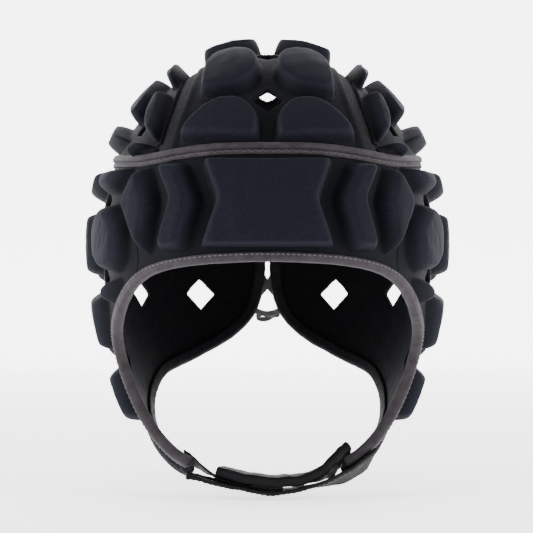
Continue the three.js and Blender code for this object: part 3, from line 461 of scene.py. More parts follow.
def smooth_line(points, count):
    """Line through points in cubic pieces, with knots a square root of a chord apart and at each point the
    slope of the two chords beside it, the nearer weighing more."""
    points = np.asarray(points, float)
    knots = np.concatenate([[0], np.cumsum(np.linalg.norm(np.diff(points[:, :3], axis=0), axis=1) ** 0.5)])
    gap = np.diff(knots)
    slope = np.diff(points, axis=0) / gap[:, None]
    tangent = np.empty_like(points)
    tangent[0], tangent[-1] = slope[0], slope[-1]
    weigh = gap[:-1] + gap[1:]
    tangent[1:-1] = (slope[:-1] * gap[1:, None] + slope[1:] * gap[:-1, None]) / weigh[:, None]
    at = np.linspace(0, knots[-1], count)
    k = np.clip(np.searchsorted(knots, at, side="right") - 1, 0, len(gap) - 1)
    h = gap[k][:, None]
    t = ((at - knots[k]) / gap[k])[:, None]
    start = (2 * t**3 - 3 * t**2 + 1) * points[k] + (t**3 - 2 * t**2 + t) * h * tangent[k]
    end = (3 * t**2 - 2 * t**3) * points[k + 1] + (t**3 - t**2) * h * tangent[k + 1]
    return start + end


def distances(line):
    """Distance of each point of a line from its start, along the line."""
    return np.concatenate([[0], np.cumsum(np.linalg.norm(np.diff(line, axis=0), axis=1))])


def read_at(spots, reach, line):
    """Rows of a line at distances along it."""
    return np.stack([np.interp(spots, reach, line[:, k]) for k in range(line.shape[1])], axis=1)


def even(line, step):
    """The same line with points at even distances."""
    reach = distances(line[:, :3])
    return read_at(np.linspace(0, reach[-1], max(2, int(round(reach[-1] / step)) + 1)), reach, line)


def laid_line(knots, outward=1, step=1.0, closed=False):
    """Line on the head through points: its feet on the form, their normals, and the direction out of the
    cloth, which is the line's direction crossed with the normal."""
    line = even(smooth_line(knots, 1200), step)
    if closed:
        line = line[:-1]
    direction = line - HEAD_CENTRE
    foot = over_head(direction, 0.0)
    normal = unit(over_head(direction, 1.0) - foot)
    ahead = np.roll(foot, -1, axis=0) - np.roll(foot, 1, axis=0) if closed else np.gradient(foot, axis=0)
    return dict(foot=foot, normal=normal, away=unit(np.cross(ahead, normal)) * outward)


def fold_line(table, side=1, outward=1, whole=False):
    """Laid line through a table of azimuths and latitudes, or through both its hands from end to end."""
    table = np.asarray(table, float)
    knots = over_head(wall(table[:, 0] * side, table[:, 1]), 0.0)
    if whole:
        knots = np.concatenate([knots[:0:-1] * [-1, 1, 1], knots])
    return laid_line(knots, outward)


def swept(line, section, wobble=0.0, seed=0, closed=False, blunt=0.0):
    """Closed section, as distance out of the cloth and height, carried along a line. Texture lengths run
    along the line and round the section, in metres. An open band's ends are closed at their middles, over a
    blunt length with the section at sqrt(1 - (1 - distance / blunt)^2) of its size."""
    section = np.asarray(section, float)
    foot, normal, away = line["foot"], line["normal"], line["away"]
    sway = wobble * ripple(foot, 12, seed)[:, None, None]
    lift = wobble * 0.6 * ripple(foot, 5, seed + 5)[:, None, None]
    points = foot[:, None] + away[:, None] * (section[None, :, :1] + sway)
    points = points + normal[:, None] * (section[None, :, 1:] + lift)
    along = distances(foot)
    if blunt:
        share = np.clip(np.minimum(along, along[-1] - along) / blunt, 0, 1)
        middle = points.mean(axis=1, keepdims=True)
        points = middle + (points - middle) * np.sqrt(1 - (1 - share) ** 2)[:, None, None]
    if not closed:
        ends = [np.broadcast_to(points[k].mean(axis=0), points[k].shape)[None] for k in (0, -1)]
        points = np.concatenate([ends[0], points, ends[1]])
        along = np.concatenate([[0], along, [along[-1]]])
    rows, columns = points.shape[:2]
    lengths = np.stack(np.broadcast_arrays(along[:, None], distances(section)[None, :]), axis=-1)
    return dict(
        points=points.reshape(-1, 3), faces=grid_faces(rows, columns, around=True, closed=closed),
        lengths=lengths.reshape(-1, 2) / 1000, thread=np.zeros(rows * columns),
    )


def stitches(starts, ends, normals, radius):
    """Threads from starts to ends: six-sided spindles whose girth rises from nothing at both ends, arched by
    the sine of the share of their length, their ends a quarter of the radius deep."""
    share = np.array([0, 0.04, 0.2, 0.5, 0.8, 0.96, 1])
    girth = np.array([0.02, 0.6, 0.95, 1, 0.95, 0.6, 0.02]) * radius
    turn = np.linspace(0, 2 * math.pi, 6, endpoint=False)
    ahead = ends - starts
    side = unit(np.cross(ahead, normals))
    up = unit(np.cross(side, ahead))
    middle = starts[:, None] + ahead[:, None] * share[:, None]
    middle = middle + up[:, None] * (radius * (1.1 * np.sin(share * math.pi) - 0.25))[:, None]
    ring = side[:, None, None] * np.cos(turn)[:, None] + up[:, None, None] * np.sin(turn)[:, None]
    points = middle[:, :, None] + ring * girth[:, None, None]
    one = grid_faces(len(share), len(turn), around=True)
    faces = (np.arange(len(starts))[:, None, None] * len(share) * len(turn) + one).reshape(-1, 4)
    flat = points.reshape(-1, 3)
    return dict(points=flat, faces=faces, lengths=np.zeros((len(flat), 2)), thread=np.ones(len(flat)))


def row_of_stitches(line, across, height, pitch, share, radius, zig=0.0):
    """Stitches along a swept band's line at a distance across it and a height, each a share of the pitch
    long; with zig they go to and fro."""
    reach = distances(line["foot"])
    count = int(reach[-1] / pitch)
    step = np.arange(count)
    swing = zig * np.where(step % 2 == 0, 1, -1)
    tips = []
    for way in (-1, 1):
        spots = (step + 0.5 + way * share / 2) / count * reach[-1]
        foot, normal, away = (read_at(spots, reach, line[key]) for key in ("foot", "normal", "away"))
        tips.append((foot + away * (across + way * swing)[:, None] + normal * height, normal))
    return stitches(tips[0][0], tips[1][0], tips[0][1], radius)


def joined(name, *shapes):
    """One mesh object from several shapes."""
    shift = np.cumsum([0] + [len(shape["points"]) for shape in shapes])
    faces = np.concatenate([shape["faces"] + k for shape, k in zip(shapes, shift)])
    points, lengths, thread = (
        np.concatenate([shape[key] for shape in shapes]) for key in ("points", "lengths", "thread")
    )
    return build_mesh(name, points, faces, dict(thread=thread), lengths)


def rounded_band(width, thickness, rounding, swell=0.0):
    """Section of a flat band with rounded corners, its faces swelling towards the middle."""
    w, t = width / 2 - rounding, thickness / 2 - rounding
    turn = np.linspace(0, math.pi / 2, 5)
    shares = np.linspace(1, -1, 13)[1:-1]
    parts = []
    for k, (x, y) in enumerate([(w, t), (-w, t), (-w, -t), (w, -t)]):
        a = turn + k * math.pi / 2
        parts.append(np.stack([x + rounding * np.cos(a), y + rounding * np.sin(a)], axis=1))
        if k in (0, 2):
            way = 1 - k
            parts.append(np.stack([shares * way * w, np.full_like(shares, thickness / 2 * way)], axis=1))
    section = np.concatenate(parts)
    section[:, 1] += swell * (1 - (section[:, 0] / (width / 2)) ** 2) * np.sign(section[:, 1])
    return section


def band_line(points, wide, step=1.0, wobble=0.0, seed=0):
    """Line of a free band: smooth through points, with the band's width along each row's direction. Its
    normal is the width crossed with the line's direction."""
    points, wide = np.asarray(points, float), np.asarray(wide, float)
    both = even(smooth_line(np.concatenate([points, wide], axis=1), 900), step)
    foot = both[:, :3]
    ahead = unit(np.gradient(foot, axis=0))
    normal = unit(np.cross(both[:, 3:], ahead))
    foot = foot + normal * (wobble * ripple(foot, 17, seed))[:, None]
    return dict(foot=foot, normal=normal, away=unit(np.cross(ahead, normal)))


def gusset_line(along):
    """Degrees across of the mesh strip's middle at degrees along."""
    return GUSSET["at_top"] + GUSSET["spread"] * (along / GUSSET["reach"]) ** 2


def joint_latitude(azimuth):
    """Latitude at which crown and wall meet."""
    azimuth = np.abs(azimuth)
    return JOINT_LATITUDE + sum(d * np.exp(-(((azimuth - a) / w) ** 2)) for d, a, w in JOINT_BENDS)


def joint_sine(across, along):
    """Sine of the joint's latitude at the azimuth of a place on the crown."""
    p, q = np.radians(across), np.radians(along)
    azimuth = np.degrees(np.arctan2(np.abs(np.sin(p)), np.cos(p) * np.sin(q)))
    return np.sin(np.radians(joint_latitude(azimuth)))


def crown_edge(across, end):
    """Degrees along at which the crown meets the wall, forward or back: there cos(across) * cos(along) is the
    sine of the joint's latitude."""
    along = np.full_like(across, 60.0) * end
    for _ in range(8):
        share = joint_sine(across, along) / np.cos(np.radians(across))
        along = end * np.degrees(np.arccos(np.minimum(1, share)))
    return along


def share_grid(rows, columns):
    """Shares from 0 to 1 down and across a grid."""
    return np.meshgrid(np.linspace(0, 1, rows + 1), np.linspace(0, 1, columns + 1), indexing="ij")


def settled(i, across, across_at):
    """Degrees across and along for shares down the crown, in rounds, as each depends on the other."""
    for _ in range(14):
        along = crown_edge(across, np.where(i < 0.5, -1, 1)) * np.abs(2 * i - 1)
        across = across_at(along)
    return np.stack([across, along], axis=-1)


def crown_centre_grid():
    """Crown's middle: across is a share of the mesh strip's line and along a share of the way to the wall."""
    i, j = share_grid(215, 84)
    return settled(
        i, (2 * j - 1) * GUSSET["at_top"], lambda along: (2 * j - 1) * (gusset_line(along) - GUSSET_EDGE)
    )


def crown_side_grid():
    """Crown's side between the mesh strip and the wall; at its two tips the strip meets the wall."""
    i, j = share_grid(220, 80)
    tip, ease = 56.2, 0.985
    along = tip * np.sin((2 * i - 1) * math.pi / 2 * ease) / math.sin(math.pi / 2 * ease)
    inner = gusset_line(along) + GUSSET_EDGE
    outer = np.full_like(along, 60.0)
    for _ in range(12):
        outer = np.degrees(np.arccos(np.minimum(1, joint_sine(outer, along) / np.cos(np.radians(along)))))
    return np.stack([inner + (np.maximum(outer, inner + 0.1) - inner) * j, along], axis=-1)


def gusset_grid():
    """Mesh strip with its sewn edges, which lie inside the cloth on both sides of the gap that it fills."""
    i, j = share_grid(210, 10)
    half = STRIP_WIDTH / 2 * CROWN_DEGREE
    middle = gusset_line(np.zeros_like(i))
    return settled(i, middle, lambda along: gusset_line(along) + (2 * j - 1) * half)


def moved_in(table, distance):
    """Azimuths and latitudes of a line through a table's places, moved into the cloth by a distance."""
    line = fold_line(table)
    ray = line["foot"] - line["away"] * distance - HEAD_CENTRE
    latitude = np.degrees(np.arcsin(ray[:, 2] / np.linalg.norm(ray, axis=1)))
    return np.stack([np.degrees(np.arctan2(ray[:, 0], -ray[:, 1])), latitude], axis=1)


BROW = moved_in(FACE_LINE[:9], FOLD_ROOM)


def brow_latitude(azimuth):
    """Latitude of the forehead's lower edge at an azimuth."""
    return np.interp(np.abs(azimuth), BROW[:, 0], BROW[:, 1])


def seam_azimuth(share):
    """Azimuth of the forehead's side seam at a share of the way down."""
    return np.interp(share, SEAM_LINE["share"], SEAM_LINE["azimuth"])


SEAM_FOOT = float(brow_latitude(SEAM_LINE["azimuth"][-1]))


def forehead_grid():
    """Forehead: across is a share of the seam's azimuth, down a share of the way to the brow."""
    i, j = share_grid(82, 176)
    azimuth = (2 * j - 1) * (seam_azimuth(i) - 0.1)
    top = joint_latitude(azimuth)
    foot = np.maximum(brow_latitude(azimuth), SEAM_FOOT)
    return np.stack([azimuth, top + (foot - top) * i], axis=-1)


def side_grid():
    """Whole side of the wall as azimuth and latitude, in steps of about a cell."""
    front, top, foot = 39, JOINT_LATITUDE + 1.6, -71
    degree_across, degree_down = 1.62, 1.85
    azimuth = np.linspace(front, LACING_AZIMUTH, int((LACING_AZIMUTH - front) * degree_across / CELL))
    latitude = np.linspace(top, foot, int((top - foot) * degree_down / CELL))
    return np.stack(np.meshgrid(azimuth, latitude), axis=-1)


def side_outline():
    """Outline of the wall's side: down the forehead seam, inside the face's fold, round the flap's tip,
    inside the neck's fold and up the lacing."""
    share = np.linspace(0, 1, 30)
    top = joint_latitude(SEAM_LINE["azimuth"][0])
    seam = np.stack([seam_azimuth(share) + 0.1, top + (SEAM_FOOT - top) * share], axis=1)
    edge = moved_in(FACE_LINE + FLAP_TIP + NECK_LINE, FOLD_ROOM)
    edge = edge[(edge[:, 0] > SEAM_LINE["azimuth"][-1] + 0.3) | (edge[:, 1] < -50)][::3]
    above = np.linspace(LACING_AZIMUTH - 0.8, SEAM_LINE["azimuth"][0] + 1, 90)
    return np.concatenate([seam, edge, np.stack([above, joint_latitude(above)], axis=1)])


def wall_pads():
    """Pads of one side of the wall."""
    pads = []
    for names in NODE_PADS:
        corners = [NODES[name] for name in names.split()]
        places = [corner[:2] for corner in corners]
        cuts = [corner[2] for corner in corners]
        pads.append(pad_outline(wall, places, 4.2, 1.9, margin=VALLEY / 2, openings=cuts))
    for k, outline in enumerate(FITTED_WALL_PADS):
        pads.append(pad_outline(wall, outline, 5.2, 1.6, 0.45 if k < 3 else 0.1))
    return pads


def wall_openings():
    """Vents and ear opening of one side of the wall."""
    shapes = dict(vent=vent_outline(), ear=ear_outline())
    return [(np.array(place), shapes[kind]) for *place, kind in NODES.values() if kind]


def forehead_pads():
    """Hourglass in the middle and chevrons and kites on both sides."""
    pads = []
    top, waist, bottom = FOREHEAD_LEVELS
    for k, (above, middle, below, low, drop) in enumerate(FOREHEAD_PADS):
        for side in [1] if k == 0 else [-1, 1]:
            outline = [
                (side * above[0], top - low), (side * above[1], top - low), (side * middle[1], waist),
                (side * below[1], bottom + drop), (side * below[0], bottom + drop), (side * middle[0], waist),
            ]
            shape = (3.6, 0.9, 0.0) if k == 0 else (5.6, 1.3, 0.42 * side)
            pads.append(pad_outline(wall, outline, *shape))
    return pads


def crown_centre_pads():
    """Pads of the crown's middle, both hands."""
    pads = []
    for outline, cuts in CROWN_CENTRE_PADS:
        openings = ["vent" if k in cuts else None for k in range(len(outline))]
        for side in (-1, 1):
            pads.append(pad_outline(crown, [(side * p, q) for p, q in outline], 3.4, 2.2, openings=openings))
    return pads


def crown_side_pads():
    """Pads of one side of the crown, fore and aft."""
    return [
        pad_outline(crown, [(p, end * q) for p, q in outline], 1.9 if k == 0 else 3.2, 1.0)
        for k, outline in enumerate(CROWN_SIDE_PADS) for end in (-1, 1)
    ]


def border_hem(grid, sides):
    """Height of a doubled hem along the sides of a crown grid that lie beside a mesh strip."""
    across = np.abs(grid[..., 0] - grid[:, :1, 0]) / CROWN_DEGREE
    gaps = [across, across[:, -1:] - across][: sides]
    return sum(HEM_HEIGHT * np.exp(-((np.maximum(gap, 0) / HEM_WIDTH) ** 6)) for gap in gaps)


def mirrored(piece, name):
    """The same mesh for the other hand: every x turned over and every face turned round."""
    mesh = piece.data.copy()
    mesh.name = name
    spots = np.empty(len(mesh.vertices) * 3, dtype=np.float32)
    mesh.vertices.foreach_get("co", spots)
    spots = spots.reshape(-1, 3) * np.array([-1, 1, 1], dtype=np.float32)
    mesh.vertices.foreach_set("co", spots.ravel())
    mesh.flip_normals()
    mesh.update()
    other = bpy.data.objects.new(name, mesh)
    bpy.context.collection.objects.link(other)
    return other


# Padded panels
forehead = panel("forehead_looks", wall, forehead_grid(), forehead_pads(), [], 3)
side_left = panel(
    "side_left_looks", wall, side_grid(), wall_pads(), wall_openings(), 11, outline=side_outline()
)
side_right = mirrored(side_left, "side_right_looks")
crown_openings = [(np.array([0.0, q]), vent_outline()) for q in CROWN_VENTS]
middle_grid = crown_centre_grid()
crown_middle = panel(
    "crown_centre_looks", crown, middle_grid, crown_centre_pads(), crown_openings, 23,
    hem=border_hem(middle_grid, 2),
)
vent_across, vent_along, vent_size = CROWN_SIDE_VENT
small_vents = [(np.array([vent_across, end * vent_along]), vent_outline(vent_size)) for end in (-1, 1)]
half_grid = crown_side_grid()
crown_left = panel(
    "crown_side_left_looks", crown, half_grid, crown_side_pads(), small_vents, 31,
    hem=border_hem(half_grid, 1),
)
crown_right = mirrored(crown_left, "crown_side_right_looks")


# Mesh strips
def gusset_strip(name, side):
    """Mesh strip as a thin sheet that bows up a little between the two panels, and its length."""
    grid = gusset_grid()
    rows, columns = grid.shape[:2]
    direction = crown(side * grid[..., 0], grid[..., 1]).reshape(-1, 3)
    bow = np.broadcast_to(1.5 + 0.5 * np.sin(np.linspace(0, math.pi, columns)), (rows, columns)).ravel()
    top, under = over_head(direction, bow + 0.1), over_head(direction, bow - 0.5)
    every = shell_faces(grid_faces(rows, columns), top)
    ahead = np.linalg.norm(np.diff(top.reshape(rows, columns, 3)[:, columns // 2], axis=0), axis=1)
    along = np.concatenate([[0], np.cumsum(ahead)])[:, None]
    across = np.linspace(0, STRIP_WIDTH, columns)[None, :]
    lengths = np.stack(np.broadcast_arrays(along, across), axis=-1).reshape(-1, 2) / 1000
    piece = build_mesh(name, np.concatenate([top, under]), every, {}, np.tile(lengths, (2, 1)))
    return piece, float(ahead.sum())


gusset_left, gusset_length = gusset_strip("gusset_left_looks", 1)
gusset_right, _ = gusset_strip("gusset_right_looks", -1)


# Tapes
around = np.linspace(-180, 180, 241)
crown_line = laid_line(over_head(wall(around, joint_latitude(around)), 0.0), -1, closed=True)
roll = np.linspace(math.pi * 1.12, -math.pi * 0.36, 15)
crown_section = np.concatenate([
    [(-2.9, 2.5), (-2.9, 3.1), (-2.7, 3.4), (-2.3, 3.5), (-1.9, 3.35), (-1.1, 3.4), (-0.45, 3.3)],
    np.stack([1.5 + 1.85 * np.cos(roll), 3.7 + 1.4 * np.sin(roll)], axis=1),
    [(2.9, 2.4)],
])[::-1]
crown_tape = joined(
    "crown_tape_looks",
    swept(crown_line, crown_section, 0.1, 41, closed=True),
    row_of_stitches(crown_line, -1.4, 3.38, 1.8, 0.95, 0.2, zig=0.5),
)


def fold_section(leg, ridge=0.0):
    """Section of a tape folded over the cloth's edge: outer leg, round nose and inner leg, with a ridge along
    the outer leg."""
    nose = np.linspace(math.pi * 0.5, -math.pi * 0.5, 11)
    outer = np.linspace(-leg + 0.35, -1.9, 14)
    outer = np.stack([outer, 3.8 + 0.5 * np.sin((outer + leg) / (leg - 1.9) * math.pi / 2)], axis=1)
    outer[:, 1] += ridge * np.exp(-(((outer[:, 0] + 2.9) / 0.5) ** 2))
    return np.concatenate([
        [(-leg, 2.4), (-leg, 3.35)], outer,
        np.stack([-1.35 + 1.55 * np.cos(nose), 1.3 + 2.95 * np.sin(nose)], axis=1),
        [(-2.4, -1.6), (-leg + 1.4, -1.45), (-leg + 0.3, -1.25), (-leg, -0.8), (-leg, 0.4)],
    ])[::-1]


face_line = fold_line(FACE_LINE + [(41.0, -64.0)], whole=True)
face_tape = joined(
    "face_tape_looks",
    swept(face_line, fold_section(FACE_TAPE_LEG), 0.12, 43, blunt=3.4),
    row_of_stitches(face_line, -FACE_TAPE_LEG + 1.0, 3.98, 2.5, 0.66, 0.27),
)
neck_section = fold_section(NECK_TAPE_LEG, 0.55)


def neck_tape(name, side):
    """Black tape along the neck and up the lacing."""
    line = fold_line([(45.5, -66.2)] + NECK_LINE, side, outward=side)
    section = neck_section if side > 0 else neck_section[::-1]
    stitching = row_of_stitches(line, -NECK_TAPE_LEG + 1.0, 3.95, 2.5, 0.68, 0.24)
    return joined(name, swept(line, section, 0.12, 47, blunt=3.0), stitching)


neck_left = neck_tape("neck_tape_left_looks", 1)
neck_right = neck_tape("neck_tape_right_looks", -1)


# Chin strap
def tilted(tilt):
    """Direction of a strap's width: front to back, its rear lower by the tilt."""
    return [0.0, math.cos(math.radians(tilt)), -math.sin(math.radians(tilt))]


def sewn_rows(azimuths, height, side):
    """Rows of a strap where it is sewn inside the cheek flap: middles and widths."""
    flap = np.array([(42, -66.2), (50, -65.4), (56, -64.2), (62, -62.4)])
    azimuths = np.asarray(azimuths, float)
    latitude = np.interp(azimuths, flap[:, 0], flap[:, 1])
    rise = np.full(len(azimuths), height)
    low, high = (over_head(wall(side * azimuths, latitude + step), rise) for step in (-2.0, 2.0))
    return (low + high) / 2, unit(low - high)


# Places and tilts of the strap's outer layer, and places that its tab and its padded layer share
STRAP_ROWS = np.array([
    (-42, -57.5, -220, 0), (-33, -57, -221.6, 0), (-25.8, -55.5, -223.8, 0), (-18.5, -54, -225.6, 0),
    (-8, -54, -227.6, 0), (1.3, -54, -228.9, 0), (17, -53, -227, 2), (30, -50, -224.2, 10),
    (37.5, -46, -221.8, 16), (42.2, -41.8, -220.6, 21), (46.4, -38, -218.8, 22), (51.2, -33.7, -216, 22),
    (54.6, -30.6, -213.4, 22),
])
JOINED_ROWS = np.array([(-17, -52.8, -225.9), (-8, -54, -227.6), (1.3, -54, -228.9), (8, -54, -228.6)])
INSIDE_TAPE = -2.85

outer_points = STRAP_ROWS[:, :3] + [0, 0, 0.9]
outer_wide = [tilted(t) for t in STRAP_ROWS[:, 3]]
outer_line = band_line(outer_points, outer_wide, wobble=0.35, seed=51)
strap_outer = joined(
    "strap_outer_looks",
    swept(outer_line, rounded_band(STRAP_WIDTH, 1.9, 0.8), 0.1, 52),
    *[row_of_stitches(outer_line, edge, 0.95, 2.6, 0.66, 0.22) for edge in (8.2, -8.2)],
)

tab_points, tab_wide = sewn_rows([54, 51, 48], INSIDE_TAPE - 0.6, -1)
tab_bridge = [(-32.4, -44.8, -217), (-25.4, -49.5, -220.9)]
tab_points = np.concatenate([tab_points, tab_bridge, JOINED_ROWS + [0, 0, 2.5]])
tab_wide = np.concatenate([tab_wide, [tilted(12), tilted(2)], [tilted(0)] * 4])
tab_line = band_line(tab_points, tab_wide, wobble=0.2, seed=53)
strap_tab = joined("strap_tab_looks", swept(tab_line, rounded_band(12.5, 1.3, 0.55), 0.08, 54))

pad_points, pad_wide = sewn_rows([50, 54], INSIDE_TAPE - 2.6, 1)
pad_bridge = [(18, -52, -221.4), (27, -47.5, -218.6), (34, -43, -214.8)]
pad_points = np.concatenate([[(-24.4, -51, -217.4)], JOINED_ROWS + [0, 0, 6.5], pad_bridge, pad_points])
pad_wide = np.concatenate([[tilted(0)] * 5, [tilted(2), tilted(12), tilted(26)], pad_wide])
pad_line = band_line(pad_points, pad_wide, wobble=0.4, seed=55)
pad_section = rounded_band(STRAP_WIDTH, 5.2, 2.3, 0.3)
strap_pad = joined("strap_pad_looks", swept(pad_line, pad_section, 0.14, 56))


# Lacing up the back, and the bow below it
LACE_HOLES = [(175.2, -19.6), (177, -8.5), (177, 4), (177, 16.5)]
LACE_RISE = 5.2
BACKWARD = np.array([0.0, 1.0, 0.0])


def lace_band(places, width, thickness):
    """Flat lace over the head through places, each an azimuth, a latitude and a height."""
    places = np.asarray(places, float)
    knots = over_head(wall(places[:, 0], places[:, 1]), places[:, 2])
    wide = unit(np.cross(np.gradient(knots, axis=0), BACKWARD))
    return swept(band_line(knots, wide, 0.6), rounded_band(width, thickness, thickness * 0.45))


crossings = []
for k in range(3):
    low, high = LACE_HOLES[k], LACE_HOLES[k + 1]
    middle = (low[1] + high[1]) / 2
    for side in (1, -1):
        near, far = (180 - side * (180 - a) for a in (low[0], high[0]))
        far = 360 - far
        rise = LACE_RISE + (0.45 if side > 0 else -0.3)
        stops = [
            (near, low[1], 1.0), (near, low[1] + 0.3, 4.0), (180, middle, rise),
            (far, high[1] - 0.3, 4.0), (far, high[1], 1.0),
        ]
        crossings.append(lace_band(stops, LACE_WIDTH, 1.0))
lace = joined("lace_crossings_looks", *crossings)

bow_back = float(over_head(wall(180.0, LACE_HOLES[0][1]), LACE_RISE + 1.2)[1])


def bow_strand(route):
    """Flat strand of the bow through places across, back and up, its width upright."""
    spots = np.array([(x, bow_back + y, z) for x, y, z in route])
    return band_line(spots, np.tile([0.0, 0.25, 1.0], (len(spots), 1)), 0.4)


BOW_ROUTES = [
    [(-6.6, 0.9, -141.2), (-3.2, 1.7, -142.3), (0.4, 1.6, -141.9), (3.4, 0.9, -140.2)],
    [(-6.6, -0.7, -141.0), (-4, -1.6, -139.2), (0, -1.5, -138.9), (3.4, -0.7, -139.8)],
    [(3.6, 0.6, -139.8), (5.4, 1.2, -140), (7.2, 0.4, -139.2)],
]
flat_lace = rounded_band(2.9, 1.0, 0.42)
turn = np.linspace(0, 2 * math.pi, 13)[:-1]
knot_line = dict(
    foot=np.array([(x, bow_back, -139.5) for x in np.linspace(1.4, 5.2, 10)]),
    normal=np.tile(BACKWARD, (10, 1)), away=np.tile([0.0, 0.0, 1.0], (10, 1)),
)
knot = swept(knot_line, np.stack([2.1 * np.cos(turn), 1.7 * np.sin(turn)], axis=1), 0.2, 61, blunt=1.4)
arm_stops = [(175.2, -22.2, 3.6), (180, -23.2, LACE_RISE + 0.6), (184.8, -22.2, 3.6)]
bow_parts = [knot, lace_band(arm_stops, LACE_WIDTH, 1.1)]
for route in BOW_ROUTES:
    bow_parts.append(swept(bow_strand(route), flat_lace, 0.06, 62, blunt=1.6))
bow = joined("lace_bow_looks", *bow_parts)


# Materials
def new_group(name, inputs, outputs):
    """Empty shader node group, what its inputs give, and its last node. Inputs are named with their first
    values, each a number or a colour, and outputs with their kinds."""
    group = bpy.data.node_groups.new(name, "ShaderNodeTree")
    for label, value in inputs.items():
        kind = "NodeSocketColor" if isinstance(value, tuple) else "NodeSocketFloat"
        group.interface.new_socket(label, in_out="INPUT", socket_type=kind).default_value = value
    for label, kind in outputs.items():
        group.interface.new_socket(label, in_out="OUTPUT", socket_type="NodeSocket" + kind)
    return group, group.nodes.new("NodeGroupInput").outputs, group.nodes.new("NodeGroupOutput")


def set_inputs(tree, made, inputs):
    """Sets a node's inputs, each to a number, a colour or another node's output."""
    for key, value in inputs.items():
        if isinstance(value, bpy.types.NodeSocket):
            tree.links.new(value, made.inputs[key])
        else:
            made.inputs[key].default_value = value


def node(tree, kind, inputs=None, **settings):
    """Shader node with its settings and its inputs."""
    made = tree.nodes.new("ShaderNode" + kind)
    for key, value in settings.items():
        setattr(made, key, value)
    set_inputs(tree, made, inputs or {})
    return made


def reckoned(tree, operation, *values):
    """Result of an operation on numbers."""
    return node(tree, "Math", dict(enumerate(values)), operation=operation).outputs[0]


def scaled(tree, colour, share):
    """Colour times a share."""
    return node(tree, "VectorMath", {0: colour, "Scale": share}, operation="SCALE").outputs[0]


def mixed(tree, share, first, second):
    """Colour at a share of the way from the first to the second."""
    return node(tree, "Mix", {0: share, 6: first, 7: second}, data_type="RGBA").outputs[2]


def ranged(tree, value, low, high, start=0.0, end=1.0):
    """Number from low to high while a value goes from start to end."""
    inputs = {"Value": value, "From Min": start, "From Max": end, "To Min": low, "To Max": high}
    return node(tree, "MapRange", inputs).outputs[0]


def noise(tree, place, scale, detail):
    """Cloudy number over places in metres."""
    return node(tree, "TexNoise", {"Vector": place, "Scale": scale, "Detail": detail}).outputs["Fac"]


def bumped(tree, height, strength, distance, **more):
    """Normal of a surface with a height on it."""
    inputs = {"Height": height, "Strength": strength, "Distance": distance, **more}
    return node(tree, "Bump", inputs).outputs["Normal"]


def knit_group():
    """Knit cloth: a colour darkened by painted shade in the valleys and lightened by a painted highlight on
    the pads' rims, with heather flecks and soft wrinkles.

    colour = mix(mix(mix(painted valley shade, tint, rise / 0.85), painted highlight, 0.35 * rim), lining,
    inner) * clouds * flecks
    """
    # The valley colour is painted shade for the low cloth between pads; the light colour is a painted
    # highlight for the pads' rims
    inputs = dict(
        Tint=(0.0028, 0.0033, 0.0064, 1), ValleyShade=(0.0013, 0.0015, 0.0028, 1),
        Lining=(0.0008, 0.0008, 0.0016, 1), Light=(0.009, 0.01, 0.016, 1), Rise=1.0, RimHighlight=0.0, Inner=0.0,
    )
    outputs = dict(Colour="Color", Roughness="Float", Normal="Vector")
    tree, given, result = new_group("Knit cloth", inputs, outputs)
    place = node(tree, "TexCoord").outputs["Object"]
    clouds = noise(tree, place, 60.0, 3.0)
    flecks = noise(tree, place, 900.0, 3.0)
    # Painted shade: the cloth takes the darker valley colour where it lies low between the pads
    rise = ranged(tree, given["Rise"], 0.0, 1.0, end=0.85)
    face = mixed(tree, rise, given["ValleyShade"], given["Tint"])
    # Painted highlight: the lighter colour mixed in on the pads' rims
    glow = reckoned(tree, "MULTIPLY", given["RimHighlight"], 0.35)
    lit = mixed(tree, glow, face, given["Light"])
    inner = mixed(tree, given["Inner"], lit, given["Lining"])
    shade = ranged(tree, clouds, 0.84, 1.16)
    heather = ranged(tree, flecks, 0.72, 1.28, 0.3, 0.7)
    grain = bumped(tree, flecks, 0.3, 0.0003)
    set_inputs(tree, result, {
        "Colour": scaled(tree, inner, reckoned(tree, "MULTIPLY", shade, heather)),
        "Roughness": ranged(tree, clouds, 0.66, 0.8),
        "Normal": bumped(tree, clouds, 0.35, 0.0012, Normal=grain),
    })
    return tree


def weave_group():
    """Woven band: ribs along and across its texture lengths, wandering tone, and threads in their own colour.

    height = sin(2 pi * along / pitch) * sin(2 pi * across / pitch)
    """
    inputs = dict(
        Tint=(0.1, 0.095, 0.105, 1), Thread=(0.02, 0.02, 0.025, 1), Threads=0.0, Pitch=0.0007, Relief=0.3,
        Unevenness=0.3,
    )
    tree, given, result = new_group("Woven band", inputs, dict(Colour="Color", Normal="Vector"))
    relief, unevenness = given["Relief"], given["Unevenness"]
    coordinates = node(tree, "TexCoord")
    lengths = node(tree, "SeparateXYZ", {0: coordinates.outputs["UV"]})
    turns = reckoned(tree, "DIVIDE", 2 * math.pi, given["Pitch"])
    waves = []
    for axis in ("X", "Y"):
        phase = reckoned(tree, "MULTIPLY", lengths.outputs[axis], turns)
        waves.append(reckoned(tree, "SINE", phase))
    weave = reckoned(tree, "MULTIPLY", *waves)
    clouds = noise(tree, coordinates.outputs["Object"], 220.0, 4.0)
    low = reckoned(tree, "SUBTRACT", 1.0, unevenness)
    high = reckoned(tree, "ADD", 1.0, unevenness)
    tone = ranged(tree, clouds, low, high, 0.3, 0.7)
    ribs = ranged(tree, weave, 0.82, 1.1, start=-1.0)
    cloth = scaled(tree, given["Tint"], reckoned(tree, "MULTIPLY", tone, ribs))
    woven = bumped(tree, weave, relief, 0.0002)
    set_inputs(tree, result, {
        "Colour": mixed(tree, given["Threads"], cloth, given["Thread"]),
        "Normal": bumped(tree, clouds, relief, 0.0009, Normal=woven),
    })
    return tree


KNIT = knit_group()
WEAVE = weave_group()


